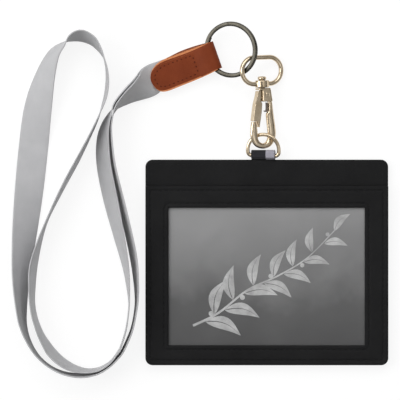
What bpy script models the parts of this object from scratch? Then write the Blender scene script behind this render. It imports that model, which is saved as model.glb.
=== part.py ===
"""Horizontal card holder with a ribbon neck lanyard, lying flat on its back.

Metres, +Z up. The origin is the middle of the holder's back face, +Y runs
towards the lanyard and +X to the right as the wearer's card is read.
The part that takes the most skill is the swivel trigger hook: a lofted body
with a peened shank, a sprung gate between two cheeks, and an oval swivel eye.
"""

import math

import bpy
import bmesh
from mathutils import Matrix, Vector

MM = 0.001

# Running clearances between neighbouring pieces
CLEAR = 0.30 * MM
SHEET_GAP = 0.25 * MM

# Card, and the pocket and hems that give the holder its size round it
CARD_WIDTH = 101.0 * MM
CARD_HEIGHT = 73.0 * MM
CARD_SIDE_PLAY = 1.75 * MM
CARD_END_PLAY = 0.6 * MM
CARD_TOP_PLAY = 6.3 * MM
HEM_WIDTH = 5.0 * MM
MOUTH_DROP = 12.1 * MM
HOLDER_WIDTH = CARD_WIDTH + 2 * (CARD_SIDE_PLAY + HEM_WIDTH)
HOLDER_HEIGHT = HEM_WIDTH + CARD_END_PLAY + CARD_HEIGHT + CARD_TOP_PLAY + MOUTH_DROP
CORNER_RADIUS = 2.8 * MM
BACK_THICKNESS = 0.8 * MM
BOARD_THICKNESS = 1.0 * MM
LINER_THICKNESS = 0.5 * MM
CARD_THICKNESS = 0.3 * MM
FILM_THICKNESS = 0.2 * MM
FRONT_THICKNESS = 0.8 * MM
EDGE_ROUNDING = 0.25 * MM

# Pocket front: window inside the card's edges, and stitch channels
MOUTH_CORNER_RADIUS = 0.6 * MM
WINDOW_SIDE_COVER = 3.95 * MM
WINDOW_END_COVER = 7.5 * MM
WINDOW_WIDTH = CARD_WIDTH - 2 * WINDOW_SIDE_COVER
WINDOW_HEIGHT = CARD_HEIGHT - WINDOW_END_COVER
WINDOW_SHIFT_X = -0.25 * MM
WINDOW_BOTTOM_RAIL = 9.0 * MM
WINDOW_RADIUS = 1.2 * MM
CHANNEL_WIDTH = 0.7 * MM
CHANNEL_DEPTH = 0.2 * MM
EDGE_CHANNEL_INSET = 2.4 * MM
WINDOW_CHANNEL_OFFSET = 1.9 * MM
MOUTH_CHANNEL_DROP = 2.0 * MM
CHANNEL_MIN_RADIUS = 0.2 * MM
FILM_OVERLAP = 3.0 * MM

# Webbing tab that carries the D-ring
TAB_X = -1.66 * MM
TAB_WIDTH = 11.3 * MM
TAB_THICKNESS = 0.5 * MM
TAB_REACH = 4.9 * MM
TAB_TAIL = 8.8 * MM
LOOP_HEIGHT = 2.3 * MM
TAB_ROOT = 0.4 * MM
TAB_RISE = 1.3 * MM
TAB_TWIST = 0.9 * MM

# D-ring: wire, outer size, lean of the whole ring
D_WIRE = 1.7 * MM
D_WIDTH = 16.6 * MM
D_HEIGHT = 12.0 * MM
D_CORNER = 1.85 * MM
D_BAR_Y = 2.15 * MM
D_BAR_Z = 2.9 * MM
D_PITCH = math.radians(10.3)
D_ROLL = math.radians(11.0)

# Trigger hook, in its own plane: u to the right, v along its axis to the eye.
# Its frame is the middle of the eye's collar, set off from the top of the D-ring's arc.
HOOK_UNIT = 1.0 * MM
HOOK_SIDE = -0.67 * HOOK_UNIT
HOOK_REACH = 23.82 * HOOK_UNIT
HOOK_LIFT = 0.958 * HOOK_UNIT
HOOK_PITCH = math.radians(3.0)
HOOK_ROLL = math.radians(27.6)
HOOK_YAW = math.radians(1.56)
HOOK_SPREAD = 1.04 * MM
HOOK_HALF_THICKNESS = 1.1 * MM
HOOK_FACET = 0.5 * MM
HEAD_HALF_THICKNESS = 2.2 * MM
HEAD_TOP = -2.0 * MM
SHANK_RADIUS = 1.3 * MM
PEEN_RADIUS = 2.05 * MM
PEEN_HEIGHT = 1.6 * MM
PEEN_CROWN = 0.45 * MM
PIVOT_U = 1.63 * MM
PIVOT_V = -5.18 * MM
RIVET_RADIUS = 0.65 * MM
RIVET_PLAY = 0.2 * MM
RIVET_HEAD_RADIUS = 1.1 * MM
RIVET_HEAD_HEIGHT = 0.3 * MM
GATE_HALF_THICKNESS = 1.6 * MM
GATE_BOSS_RADIUS = 1.5 * MM
GATE_BOSS_HALF = 0.95 * MM
GATE_BEVEL = 0.4 * MM
SPRING_STRIP = 0.3 * MM
SPRING_HALF_WIDTH = 0.9 * MM

# Swivel eye: oval of round wire with a collar that turns on the shank
EYE_WIRE = 2.1 * MM
EYE_WIDTH = 22.5 * MM
EYE_HEIGHT = 14.7 * MM
COLLAR_RADIUS = 3.2 * MM
COLLAR_HEIGHT = 3.4 * MM
COLLAR_LIP = 0.35 * MM

# Split ring: two turns of flattened wire, placed from the hook's frame
RING_SIDE = -14.67 * MM
RING_REACH = 16.15 * MM
RING_LIFT = 1.6 * MM
RING_OUTER = 26.2 * MM
RING_RADIAL = 1.85 * MM
RING_TURN_HEIGHT = 0.75 * MM
RING_TURN_GAP = 0.3 * MM
RING_TILT = math.radians(23.0)
RING_HEADING = math.radians(18.0)
RING_START = math.radians(105.0)
RING_STEP_HALF = math.radians(28.0)
RING_STEPS_PER_TURN = 36
FOLD_SIDE = 8.15 * MM
FOLD_REACH = -7.0 * MM
FOLD_LIFT = 1.4 * MM

# Leather tab, folded round the split ring, and the ribbon sewn into it
LEATHER_SIDE = -8.0 * MM
LEATHER_DROP = -2.65 * MM
LEATHER_BOTTOM = 0.2 * MM
LEATHER_ANGLE = math.radians(19.3)
LEATHER_THICKNESS = 1.0 * MM
LEATHER_CAVITY = 4.0 * MM
LEATHER_LENGTH = 32.6 * MM
LEATHER_UNIT = LEATHER_LENGTH / 32.6
LEATHER_STRIP = 20.0 * MM
LEATHER_REACH = 1.75 * MM
RIBBON_WIDTH = 13.8 * MM
RIBBON_THICKNESS = 0.7 * MM
RIBBON_SIDE = -1.4 * MM
RIBBON_TAIL = 22.5 * MM
TABLE_GAP = 0.05 * MM

# Ribbon's first stretch, which both its ends share: share of the way from the tab's
# end to the loops, millimetres aside, roll in degrees, and how far the two ends stand
# apart. The roll turns the ribbon about its own run: 0 is flat, -90 stands on edge.
SHARED_RUN = (
    (0.1507, -1.22, -6, 2.7), (0.3207, -2.34, -26, 3.2), (0.5103, -2.57, -52, 3.0),
    (0.6836, -2.19, -76, 2.0), (0.8377, -1.14, -90, 1.7),
)

# The two loops beside the holder: x from its left edge and y from the tab's frame,
# in millimetres, and roll in degrees
ROUTE_UNIT = 1.0 * MM
LOOP_RUN = (
    (-17.35, -28.3, -98), (-19.75, -33.9, -109), (-20.65, -41.1, -116),
    (-20.15, -52.2, -119), (-16.95, -68.2, -119), (-12.95, -85.1, -112),
    (-9.65, -101.7, -102), (-8.35, -116.3, -96), (-9.75, -130.1, -94),
    (-14.35, -141.5, -95), (-21.65, -148.1, -98), (-29.95, -149.5, -103),
    (-36.85, -147.0, -108), (-42.55, -142.5, -111), (-48.15, -135.0, -109),
    (-52.65, -124.0, -102), (-54.45, -112.1, -101), (-53.75, -100.1, -104),
    (-50.65, -87.6, -99), (-44.25, -72.1, -94.5), (-33.75, -53.1, -95),
    (-26.55, -37.3, -94), (-22.75, -28.9, -89), (-19.55, -18.6, -82),
    (-18.95, -6.1, -86), (-20.35, 0.5, -84), (-24.15, 6.3, -74),
    (-30.15, 9.2, -69), (-35.35, 8.3, -80), (-39.35, 5.3, -100),
    (-43.75, -0.3, -115), (-48.15, -11.5, -136), (-51.45, -25.6, -162),
    (-53.75, -42.1, -180), (-56.15, -64.5, -199), (-58.35, -86.1, -218),
    (-59.95, -106.1, -238), (-58.95, -123.1, -254), (-54.35, -138.3, -265),
    (-44.55, -148.1, -267), (-31.35, -152.4, -263), (-20.15, -149.3, -263),
    (-10.55, -140.3, -262), (-5.65, -127.1, -261), (-4.35, -110.7, -259),
    (-6.35, -94.1, -255), (-11.15, -72.1, -257), (-14.75, -52.1, -261),
    (-15.95, -36.1, -265),
)
STATION_RUN = 6.0 * MM
STATION_TWIST = math.radians(4.0)

# Colours
BLACK_LEATHER = (0.028, 0.028, 0.030)
BOARD_GREY = (0.32, 0.31, 0.29)
CARD_GREY = (0.16, 0.16, 0.165)
FILM_CLEAR = (0.60, 0.62, 0.64)
WEBBING_BLACK = (0.030, 0.030, 0.034)
PALE_GOLD = (0.72, 0.62, 0.48)
SPRING_STEEL = (0.25, 0.23, 0.21)
DARK_BRONZE = (0.22, 0.21, 0.18)
SADDLE_BROWN = (0.30, 0.085, 0.028)
RIBBON_GREY = (0.52, 0.52, 0.53)


# Scene set-up and small helpers

def clear_scene():
    for item in list(bpy.data.objects):
        bpy.data.objects.remove(item)


def new_collection(name):
    collection = bpy.data.collections.new(name)
    bpy.context.scene.collection.children.link(collection)
    return collection


def make_material(name, colour, roughness, metallic=0.0):
    material = bpy.data.materials.new(name)
    material.use_nodes = True
    shader = material.node_tree.nodes["Principled BSDF"]
    shader.inputs["Base Color"].default_value = (*colour, 1.0)
    shader.inputs["Roughness"].default_value = roughness
    shader.inputs["Metallic"].default_value = metallic
    material.diffuse_color = (*colour, 1.0)
    return material


def add_object(name, data, collection, material=None, parent=None):
    item = bpy.data.objects.new(name, data)
    collection.objects.link(item)
    if material is not None:
        data.materials.append(material)
    if parent is not None:
        item.parent = parent
    return item


def add_empty(name, collection, location, rotation=(0, 0, 0), order="XYZ", parent=None):
    empty = bpy.data.objects.new(name, None)
    empty.empty_display_size = 5 * MM
    empty.rotation_mode = order
    empty.location = location
    empty.rotation_euler = rotation
    collection.objects.link(empty)
    if parent is not None:
        empty.parent = parent
    return empty


def shade_round(item, angle=35.0):
    item.data.shade_smooth()
    item.data.set_sharp_from_angle(angle=math.radians(angle))


def add_bevel(item, width, segments=1):
    bevel = item.modifiers.new("rounded_edges", "BEVEL")
    bevel.width = width
    bevel.segments = segments
    bevel.limit_method = "ANGLE"
    bevel.angle_limit = math.radians(50)


def apply_modifiers(item):
    """Keep the evaluated shape as the object's own mesh."""
    graph = bpy.context.evaluated_depsgraph_get()
    graph.update()
    shape = bpy.data.meshes.new_from_object(item.evaluated_get(graph))
    item.modifiers.clear()
    item.data = shape


def boolean(item, cutter, operation="DIFFERENCE"):
    modifier = item.modifiers.new(operation.lower(), "BOOLEAN")
    modifier.operation = operation
    modifier.object = cutter


def as_cutter(item, collection):
    for holder in list(item.users_collection):
        holder.objects.unlink(item)
    collection.objects.link(item)
    item.hide_render = True
    item.display_type = "WIRE"
    return item


def curve_to_mesh(item, weld=1e-6):
    """Turn a curve object into a welded mesh object with the same place and name."""
    graph = bpy.context.evaluated_depsgraph_get()
    graph.update()
    shape = bpy.data.meshes.new_from_object(item.evaluated_get(graph))
    work = bmesh.new()
    work.from_mesh(shape)
    bmesh.ops.remove_doubles(work, verts=work.verts, dist=weld)
    bmesh.ops.recalc_face_normals(work, faces=work.faces)
    work.to_mesh(shape)
    work.free()
    name, parent = item.name, item.parent
    owner = item.users_collection[0]
    matrix = item.matrix_local.copy()
    bpy.data.objects.remove(item)
    solid = add_object(name, shape, owner, parent=parent)
    solid.matrix_local = matrix
    return solid


# Outlines

def rounded_rectangle(left, right, bottom, top, radius, steps=4, top_radius=None):
    """Corner arcs of a rectangle, anticlockwise from the lower right corner."""
    upper = radius if top_radius is None else top_radius
    corners = (
        (right - radius, bottom + radius, radius, -90),
        (right - upper, top - upper, upper, 0),
        (left + upper, top - upper, upper, 90),
        (left + radius, bottom + radius, radius, 180),
    )
    points = []
    for x, y, r, start in corners:
        for step in range(steps + 1):
            angle = math.radians(start + 90.0 * step / steps)
            points.append((x + r * math.cos(angle), y + r * math.sin(angle)))
    return points


def arc(centre, radius, start, end, steps):
    points = []
    for step in range(steps + 1):
        angle = math.radians(start + (end - start) * step / steps)
        points.append((centre[0] + radius * math.cos(angle), centre[1] + radius * math.sin(angle)))
    return points


def plate(name, outlines, low, high, collection, material=None, parent=None):
    """Flat solid between two heights from closed outlines; the second and later are holes."""
    data = bpy.data.curves.new(name, "CURVE")
    data.dimensions = "2D"
    data.fill_mode = "BOTH"
    data.extrude = (high - low) / 2
    for outline in outlines:
        spline = data.splines.new("POLY")
        spline.points.add(len(outline) - 1)
        for point, place in zip(spline.points, outline):
            point.co = (place[0], place[1], 0, 1)
        spline.use_cyclic_u = True
    item = add_object(name, data, collection, parent=parent)
    item.location = (0, 0, (low + high) / 2)
    solid = curve_to_mesh(item)
    if material is not None:
        solid.data.materials.append(material)
    return solid


def smooth_curve(points, steps):
    """Points along a Catmull-Rom curve through the given points, any number of values each."""
    padded = [points[0], *points, points[-1]]
    result = []
    for index in range(1, len(padded) - 2):
        before, start, end, after = padded[index - 1:index + 3]
        for step in range(steps):
            t = step / steps
            result.append(tuple(
                0.5 * (2 * s + (e - b) * t + (2 * b - 5 * s + 4 * e - a) * t ** 2
                       + (3 * s - b - 3 * e + a) * t ** 3)
                for b, s, e, a in zip(before, start, end, after)))
    result.append(tuple(points[-1]))
    return result


def wire(name, points, radius, collection, material=None, parent=None,
         cyclic=False, resolution=2, flat=0.0, tilts=None):
    """Round wire through the points, or a flat strip when flat is its half width."""
    data = bpy.data.curves.new(name, "CURVE")
    data.dimensions = "3D"
    data.twist_mode = "Z_UP"
    data.bevel_depth = radius
    data.bevel_resolution = resolution
    data.use_fill_caps = True
    data.extrude = flat
    spline = data.splines.new("POLY")
    spline.points.add(len(points) - 1)
    for index, place in enumerate(points):
        spline.points[index].co = (*place, 1)
        if tilts is not None:
            spline.points[index].tilt = tilts[index]
    spline.use_cyclic_u = cyclic
    return add_object(name, data, collection, material, parent)


def turned(name, profile, axis, collection, material=None, parent=None, steps=24):
    """Solid of revolution; profile is radius, height down its outer side from top to bottom."""
    data = bpy.data.meshes.new(name)
    work = bmesh.new()
    verts = [work.verts.new((radius, 0, height)) for radius, height in profile]
    for first, second in zip(verts, verts[1:]):
        work.edges.new((first, second))
    work.to_mesh(data)
    work.free()
    item = add_object(name, data, collection, material, parent)
    screw = item.modifiers.new("turned", "SCREW")
    screw.steps = steps
    screw.render_steps = steps
    screw.use_merge_vertices = True
    screw.merge_threshold = 1e-6
    apply_modifiers(item)
    if axis == "Y":
        item.data.transform(Matrix.Rotation(math.radians(-90), 4, "X"))
    shade_round(item)
    return item


def faceted_ring(centre, side, half_width, half_thickness, facet):
    """Eight corners of a strip's section, across the strip and through its thickness."""
    normal = Vector((0, 0, 1))
    flat = half_width - facet
    deep = half_thickness - facet
    corners = (
        (half_width, -deep), (half_width, deep), (flat, half_thickness), (-flat, half_thickness),
        (-half_width, deep), (-half_width, -deep), (-flat, -half_thickness), (flat, -half_thickness),
    )
    return [centre + side * across + normal * through for across, through in corners]


def lofted(name, stations, collection, material=None, parent=None):
    """Body through pairs of edge points: inner edge, outer edge, half thickness, facet."""
    data = bpy.data.meshes.new(name)
    work = bmesh.new()
    rings = []
    for inner, outer, half_thickness, facet in stations:
        first = Vector((*inner, 0))
        second = Vector((*outer, 0))
        across = second - first
        ring = faceted_ring((first + second) / 2, across.normalized(), across.length / 2,
                            half_thickness, facet)
        rings.append([work.verts.new(corner) for corner in ring])
    for lower, upper in zip(rings, rings[1:]):
        for index in range(8):
            after = (index + 1) % 8
            work.faces.new((lower[index], lower[after], upper[after], upper[index]))
    work.faces.new(rings[0])
    work.faces.new(rings[-1])
    bmesh.ops.recalc_face_normals(work, faces=work.faces)
    work.to_mesh(data)
    work.free()
    return add_object(name, data, collection, material, parent)


# Heights of the holder's layers, bottom to top

BOARD_LOW = BACK_THICKNESS + SHEET_GAP
BOARD_HIGH = BOARD_LOW + BOARD_THICKNESS
LINER_LOW = BOARD_HIGH + SHEET_GAP
LINER_HIGH = LINER_LOW + LINER_THICKNESS
CARD_LOW = LINER_HIGH + SHEET_GAP
CARD_HIGH = CARD_LOW + CARD_THICKNESS
FILM_LOW = CARD_HIGH + SHEET_GAP
FILM_HIGH = FILM_LOW + FILM_THICKNESS
FRONT_LOW = FILM_HIGH + SHEET_GAP
FRONT_HIGH = FRONT_LOW + FRONT_THICKNESS

LEFT = -HOLDER_WIDTH / 2
RIGHT = HOLDER_WIDTH / 2
BOTTOM = -HOLDER_HEIGHT / 2
TOP = HOLDER_HEIGHT / 2
MOUTH = TOP - MOUTH_DROP
WINDOW_LEFT = WINDOW_SHIFT_X - WINDOW_WIDTH / 2
WINDOW_RIGHT = WINDOW_SHIFT_X + WINDOW_WIDTH / 2
WINDOW_LOW = BOTTOM + WINDOW_BOTTOM_RAIL
WINDOW_HIGH = WINDOW_LOW + WINDOW_HEIGHT

# Places of the pieces on the lanyard, each from the one that carries it

D_BAR = Vector((TAB_X, TOP + D_BAR_Y, D_BAR_Z))
D_ARC = D_BAR + Vector((0, math.cos(D_PITCH), math.sin(D_PITCH))) * (D_HEIGHT - D_WIRE)
HOOK_PLACE = D_ARC + Vector((HOOK_SIDE, HOOK_REACH, HOOK_LIFT))
RING_PLACE = HOOK_PLACE + Vector((RING_SIDE, RING_REACH, RING_LIFT))
FOLD_PLACE = RING_PLACE + Vector((FOLD_SIDE, FOLD_REACH, FOLD_LIFT))
TAB_PLACE = Vector((RING_PLACE.x + LEATHER_SIDE, RING_PLACE.y + LEATHER_DROP, 0))


def make_back_panel(parts, cutters, leather):
    outline = rounded_rectangle(LEFT, RIGHT, BOTTOM, TOP, CORNER_RADIUS)
    panel = plate("back_panel", [outline], 0, BOARD_HIGH, parts, leather)
    add_bevel(panel, EDGE_ROUNDING)
    apply_modifiers(panel)
    inner = rounded_rectangle(LEFT + HEM_WIDTH, RIGHT - HEM_WIDTH, BOTTOM + HEM_WIDTH,
                              TOP - HEM_WIDTH, CORNER_RADIUS / 2)
    hollow = plate("back_hollow", [inner], BACK_THICKNESS, BOARD_HIGH + CLEAR, cutters)
    notch_left = TAB_X - TAB_WIDTH / 2 - CLEAR
    notch_right = TAB_X + TAB_WIDTH / 2 + CLEAR
    notch = rounded_rectangle(notch_left, notch_right, TOP - 2 * HEM_WIDTH, TOP + CLEAR, CLEAR, 1)
    webbing_way = plate("back_notch", [notch], BACK_THICKNESS, BOARD_HIGH + CLEAR, cutters)
    for cutter in (hollow, webbing_way):
        as_cutter(cutter, cutters)
        boolean(panel, cutter)
    return panel


def make_stiffener(parts, board):
    edge = HEM_WIDTH + CLEAR
    left, right = LEFT + edge, RIGHT - edge
    bottom, top = BOTTOM + edge, TOP - edge
    notch_left = TAB_X - TAB_WIDTH / 2 - CLEAR
    notch_right = TAB_X + TAB_WIDTH / 2 + CLEAR
    notch_floor = TOP - TAB_TAIL - CLEAR
    corners = rounded_rectangle(left, right, bottom, top, CORNER_RADIUS / 2, 2)
    notch = [(notch_right, top), (notch_right, notch_floor), (notch_left, notch_floor), (notch_left, top)]
    outline = corners[:6] + notch + corners[6:]
    return plate("stiffener_board", [outline], BOARD_LOW, BOARD_HIGH, parts, board)


def make_inner_panel(parts, leather):
    outline = rounded_rectangle(LEFT, RIGHT, BOTTOM, TOP, CORNER_RADIUS)
    return plate("inner_panel", [outline], LINER_LOW, LINER_HIGH, parts, leather)


def make_insert_card(parts, paper):
    bottom = BOTTOM + HEM_WIDTH + CARD_END_PLAY
    outline = rounded_rectangle(-CARD_WIDTH / 2, CARD_WIDTH / 2, bottom, bottom + CARD_HEIGHT,
                                CORNER_RADIUS, 3)
    return plate("insert_card", [outline], CARD_LOW, CARD_HIGH, parts, paper)


def make_window_film(parts, clear_film):
    outline = rounded_rectangle(WINDOW_LEFT - FILM_OVERLAP, WINDOW_RIGHT + FILM_OVERLAP,
                                WINDOW_LOW - FILM_OVERLAP, WINDOW_HIGH + FILM_OVERLAP,
                                WINDOW_RADIUS, 2)
    return plate("window_film", [outline], FILM_LOW, FILM_HIGH, parts, clear_film)


def channel_outline(left, right, bottom, top, radius):
    outer = rounded_rectangle(left, right, bottom, top, radius, 3)
    width = CHANNEL_WIDTH
    inner = rounded_rectangle(left + width, right - width, bottom + width, top - width,
                              max(radius - width, CHANNEL_MIN_RADIUS), 3)
    return [outer, inner]


def make_front_panel(parts, cutters, leather):
    """Pocket front with a turned hem on three sides, a window and sewn channels."""
    outline = rounded_rectangle(LEFT, RIGHT, BOTTOM, MOUTH, CORNER_RADIUS,
                                top_radius=MOUTH_CORNER_RADIUS)
    panel = plate("front_panel", [outline], CARD_LOW, FRONT_HIGH, parts, leather)
    add_bevel(panel, EDGE_ROUNDING)
    apply_modifiers(panel)
    pocket_outline = rounded_rectangle(LEFT + HEM_WIDTH, RIGHT - HEM_WIDTH, BOTTOM + HEM_WIDTH,
                                       MOUTH + HEM_WIDTH, CORNER_RADIUS / 2, 2)
    pocket = plate("pocket_hollow", [pocket_outline], CARD_LOW - CLEAR, FRONT_LOW, cutters)
    window_outline = rounded_rectangle(WINDOW_LEFT, WINDOW_RIGHT, WINDOW_LOW, WINDOW_HIGH,
                                       WINDOW_RADIUS, 3)
    window = plate("window_cut", [window_outline], CARD_LOW - CLEAR, FRONT_HIGH + CLEAR, cutters)
    inset = EDGE_CHANNEL_INSET
    edge_channel = plate("edge_channel", channel_outline(
        LEFT + inset, RIGHT - inset, BOTTOM + inset, MOUTH - MOUTH_CHANNEL_DROP, CORNER_RADIUS),
        FRONT_HIGH - CHANNEL_DEPTH, FRONT_HIGH + CLEAR, cutters)
    offset = WINDOW_CHANNEL_OFFSET + CHANNEL_WIDTH
    window_channel = plate("window_channel", channel_outline(
        WINDOW_LEFT - offset, WINDOW_RIGHT + offset, WINDOW_LOW - offset, WINDOW_HIGH + offset,
        WINDOW_RADIUS + offset), FRONT_HIGH - CHANNEL_DEPTH, FRONT_HIGH + CLEAR, cutters)
    for cutter in (pocket, window, edge_channel, window_channel):
        as_cutter(cutter, cutters)
        boolean(panel, cutter)
    return panel


def prism_with_hole(name, section, caps, loops, slices, place, collection, material):
    """Solid swept along x: section points, quads that close its ends, and its edge loops."""
    data = bpy.data.meshes.new(name)
    work = bmesh.new()
    rows = [[work.verts.new(place(x, y, z)) for y, z in section] for x in slices]
    for first, second in zip(rows, rows[1:]):
        for loop in loops:
            for start, end in zip(loop, loop[1:] + loop[:1]):
                work.faces.new((first[start], first[end], second[end], second[start]))
    for row in (rows[0], rows[-1]):
        for quad in caps:
            work.faces.new([row[index] for index in quad])
    bmesh.ops.recalc_face_normals(work, faces=work.faces)
    work.to_mesh(data)
    work.free()
    return add_object(name, data, collection, material)


def make_tab_webbing(parts, webbing):
    """Webbing folded round the D-ring's bar; its joined ends are sewn inside the top hem."""
    low, high = BOARD_LOW, BOARD_LOW + BOARD_THICKNESS
    middle = D_BAR_Z
    inner = LOOP_HEIGHT / 2
    outer = inner + TAB_THICKNESS
    bend = TOP + TAB_REACH - outer
    rise = TOP + TAB_ROOT
    crest = rise + TAB_RISE
    halfway = rise + 0.42 * TAB_RISE
    ease = TAB_THICKNESS / 2
    # Outer and inner points face each other, from the lower side round to the upper one
    outside = [(rise, low), (halfway, (low + middle - outer) / 2), (crest, middle - outer)]
    outside += arc((bend, middle), outer, -90, 90, 8)
    outside += [(crest, middle + outer), (halfway, middle + outer - ease), (rise, high)]
    start = rise + TAB_RISE / 4
    turn = halfway + 0.8 * ease
    inside = [(start, middle - TAB_THICKNESS), (turn, middle - inner + ease),
              (crest, middle - inner)]
    inside += arc((bend, middle), inner, -90, 90, 8)
    inside += [(crest, middle + inner), (turn, middle + inner - ease),
               (start, middle + ease / 2)]
    tail = [(TOP - TAB_TAIL, high), (TOP - TAB_TAIL, low)]
    section = outside + inside + tail
    count = len(outside)
    first_inner, last_inner = count, 2 * count - 1
    tail_high, tail_low = 2 * count, 2 * count + 1
    caps = [(index, index + 1, index + 1 + count, index + count) for index in range(count - 1)]
    caps += [(0, first_inner, last_inner, count - 1), (0, count - 1, tail_high, tail_low)]
    loops = [list(range(count)) + [tail_high, tail_low], list(range(first_inner, last_inner + 1))]
    half = TAB_WIDTH / 2
    slices = [half * step / 3 for step in range(-3, 4)]

    def place(x, y, z):
        # The loop turns with the ring, the sewn tail stays flat
        along = min(max((y - TOP - CLEAR) / TAB_TWIST, 0.0), 1.0)
        angle = D_ROLL * along * along * (3 - 2 * along)
        lift = z - middle
        return (TAB_X + x * math.cos(angle) - lift * math.sin(angle), y,
                middle + lift * math.cos(angle) + x * math.sin(angle))

    return prism_with_hole("tab_webbing", section, caps, loops, slices, place, parts, webbing)


def make_d_ring(parts, metal, pivot):
    side = (D_WIDTH - D_WIRE) / 2
    rise = D_HEIGHT - D_WIRE
    flat = side - D_CORNER
    path = arc((flat, D_CORNER), D_CORNER, -90, 0, 4)
    path += arc((0, rise - side), side, 0, 180, 20)
    path += arc((-flat, D_CORNER), D_CORNER, 180, 270, 4)
    points = [(x, y, 0) for x, y in path]
    ring = wire("d_ring", points, D_WIRE / 2, parts, metal, pivot, cyclic=True)
    return ring


def hook_point(u, v):
    """Place in the hook's plane of a pair read in millimetres, widths spread for its lean."""
    return (u * HOOK_SPREAD, v * HOOK_UNIT)


def hook_arm_stations():
    """Edge pairs of the hook's bar in millimetres, from the cheeks round to the open tip."""
    pairs = (
        ((1.9, -6.0), (4.1, -6.0)), ((2.6, -9.0), (4.65, -9.0)), ((2.6, -12.6), (5.05, -12.6)),
        ((1.75, -14.4), (5.3, -14.4)), ((1.9, -17.0), (5.6, -17.0)), ((2.25, -21.6), (6.1, -21.6)),
        ((2.35, -24.4), (6.2, -24.1)), ((1.95, -26.2), (5.3, -27.3)), ((1.1, -27.5), (3.1, -29.7)),
        ((-0.35, -28.15), (-0.15, -30.56)), ((-1.8, -27.6), (-3.4, -29.7)),
        ((-2.8, -26.3), (-5.6, -27.5)), ((-3.15, -24.4), (-6.55, -24.2)),
        ((-3.15, -22.4), (-6.35, -21.2)), ((-3.2, -20.9), (-5.9, -17.9)),
    )
    return [(hook_point(*inner), hook_point(*outer), HOOK_HALF_THICKNESS, HOOK_FACET)
            for inner, outer in pairs]


def round_bore(name, radius, axis, cutters, frame):
    reach = 2 * HEAD_HALF_THICKNESS
    profile = [(0, reach), (radius, reach), (radius, -reach), (0, -reach)]
    return turned(name, profile, axis, cutters, parent=frame)


def make_hook_body(parts, cutters, metal, frame):
    """Trigger hook: bar, two cheeks for the gate, shank and peened end, all one casting."""
    hook = lofted("hook_body", hook_arm_stations(), parts, metal, frame)
    head_pairs = (
        ((-2.3, -2.0), (3.3, -2.0)), ((-2.6, -2.3), (3.55, -2.3)), ((-2.6, -2.9), (3.65, -2.9)),
        ((-0.7, -2.95), (3.66, -2.95)), ((-0.7, -7.9), (4.4, -7.9)), ((-0.45, -8.4), (4.3, -8.4)),
    )
    stations = [(hook_point(*inner), hook_point(*outer), HEAD_HALF_THICKNESS, HOOK_FACET)
                for inner, outer in head_pairs]
    head = lofted("hook_head", stations, cutters, parent=frame)
    as_cutter(head, cutters)
    boolean(hook, head, "UNION")
    collar_half = COLLAR_HEIGHT / 2
    peen_low = collar_half + CLEAR
    peen_high = peen_low + PEEN_HEIGHT
    crown = PEEN_CROWN
    shank_foot = HEAD_TOP - HOOK_FACET
    shank_profile = [
        (0, peen_high), (PEEN_RADIUS - 2 * crown, peen_high), (PEEN_RADIUS, peen_high - crown),
        (PEEN_RADIUS, peen_low + crown / 2), (PEEN_RADIUS - crown / 2, peen_low),
        (SHANK_RADIUS, peen_low), (SHANK_RADIUS, shank_foot), (0, shank_foot),
    ]
    shank = turned("hook_shank", shank_profile, "Y", cutters, parent=frame)
    as_cutter(shank, cutters)
    boolean(hook, shank, "UNION")
    slot_half = GATE_BOSS_HALF + CLEAR
    slot_left, slot_low = hook_point(-2.9, -8.7)
    slot_outline = rounded_rectangle(slot_left, PIVOT_U + GATE_BOSS_RADIUS + CLEAR, slot_low,
                                     PIVOT_V + GATE_BOSS_RADIUS + 2 * CLEAR, CLEAR, 1)
    slot = plate("gate_slot", [slot_outline], -slot_half, slot_half, cutters, parent=frame)
    bore = round_bore("rivet_bore", RIVET_RADIUS + RIVET_PLAY, "Z", cutters, frame)
    bore.location = (PIVOT_U, PIVOT_V, 0)
    for cutter in (slot, bore):
        as_cutter(cutter, cutters)
        boolean(hook, cutter)
    apply_modifiers(hook)
    shade_round(hook, 25)
    return hook


def make_gate(parts, cutters, metal, frame):
    """Gate lever in its closed place, modelled about the rivet."""
    outline = [(-2.75, -3.3), (-3.35, -6.0), (-4.33, -9.1), (-5.05, -13.0), (-5.6, -16.6),
               (-5.62, -17.5), (-4.5, -18.7), (-3.0, -20.35), (-2.65, -19.9), (-2.25, -18.4),
               (-1.8, -16.6), (-1.2, -13.0), (-0.85, -9.2), (-1.55, -8.2), (-1.2, -3.3)]
    place = [(x - PIVOT_U, y - PIVOT_V) for x, y in (hook_point(u, v) for u, v in outline)]
    gate = plate("gate_lever", [place], -GATE_HALF_THICKNESS, GATE_HALF_THICKNESS, parts, metal, frame)
    add_bevel(gate, GATE_BEVEL)
    apply_modifiers(gate)
    reach = hook_point(-1.54, 0)[0] - PIVOT_U
    boss_outline = [(reach, GATE_BOSS_RADIUS)] + arc((0, 0), GATE_BOSS_RADIUS, 90, -90, 12)
    boss_outline += [(reach, -GATE_BOSS_RADIUS - GATE_BEVEL)]
    boss = plate("gate_boss", [boss_outline], -GATE_BOSS_HALF, GATE_BOSS_HALF, cutters, parent=frame)
    as_cutter(boss, cutters)
    boolean(gate, boss, "UNION")
    bore = round_bore("gate_bore", RIVET_RADIUS + RIVET_PLAY, "Z", cutters, frame)
    as_cutter(bore, cutters)
    boolean(gate, bore)
    return gate


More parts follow.
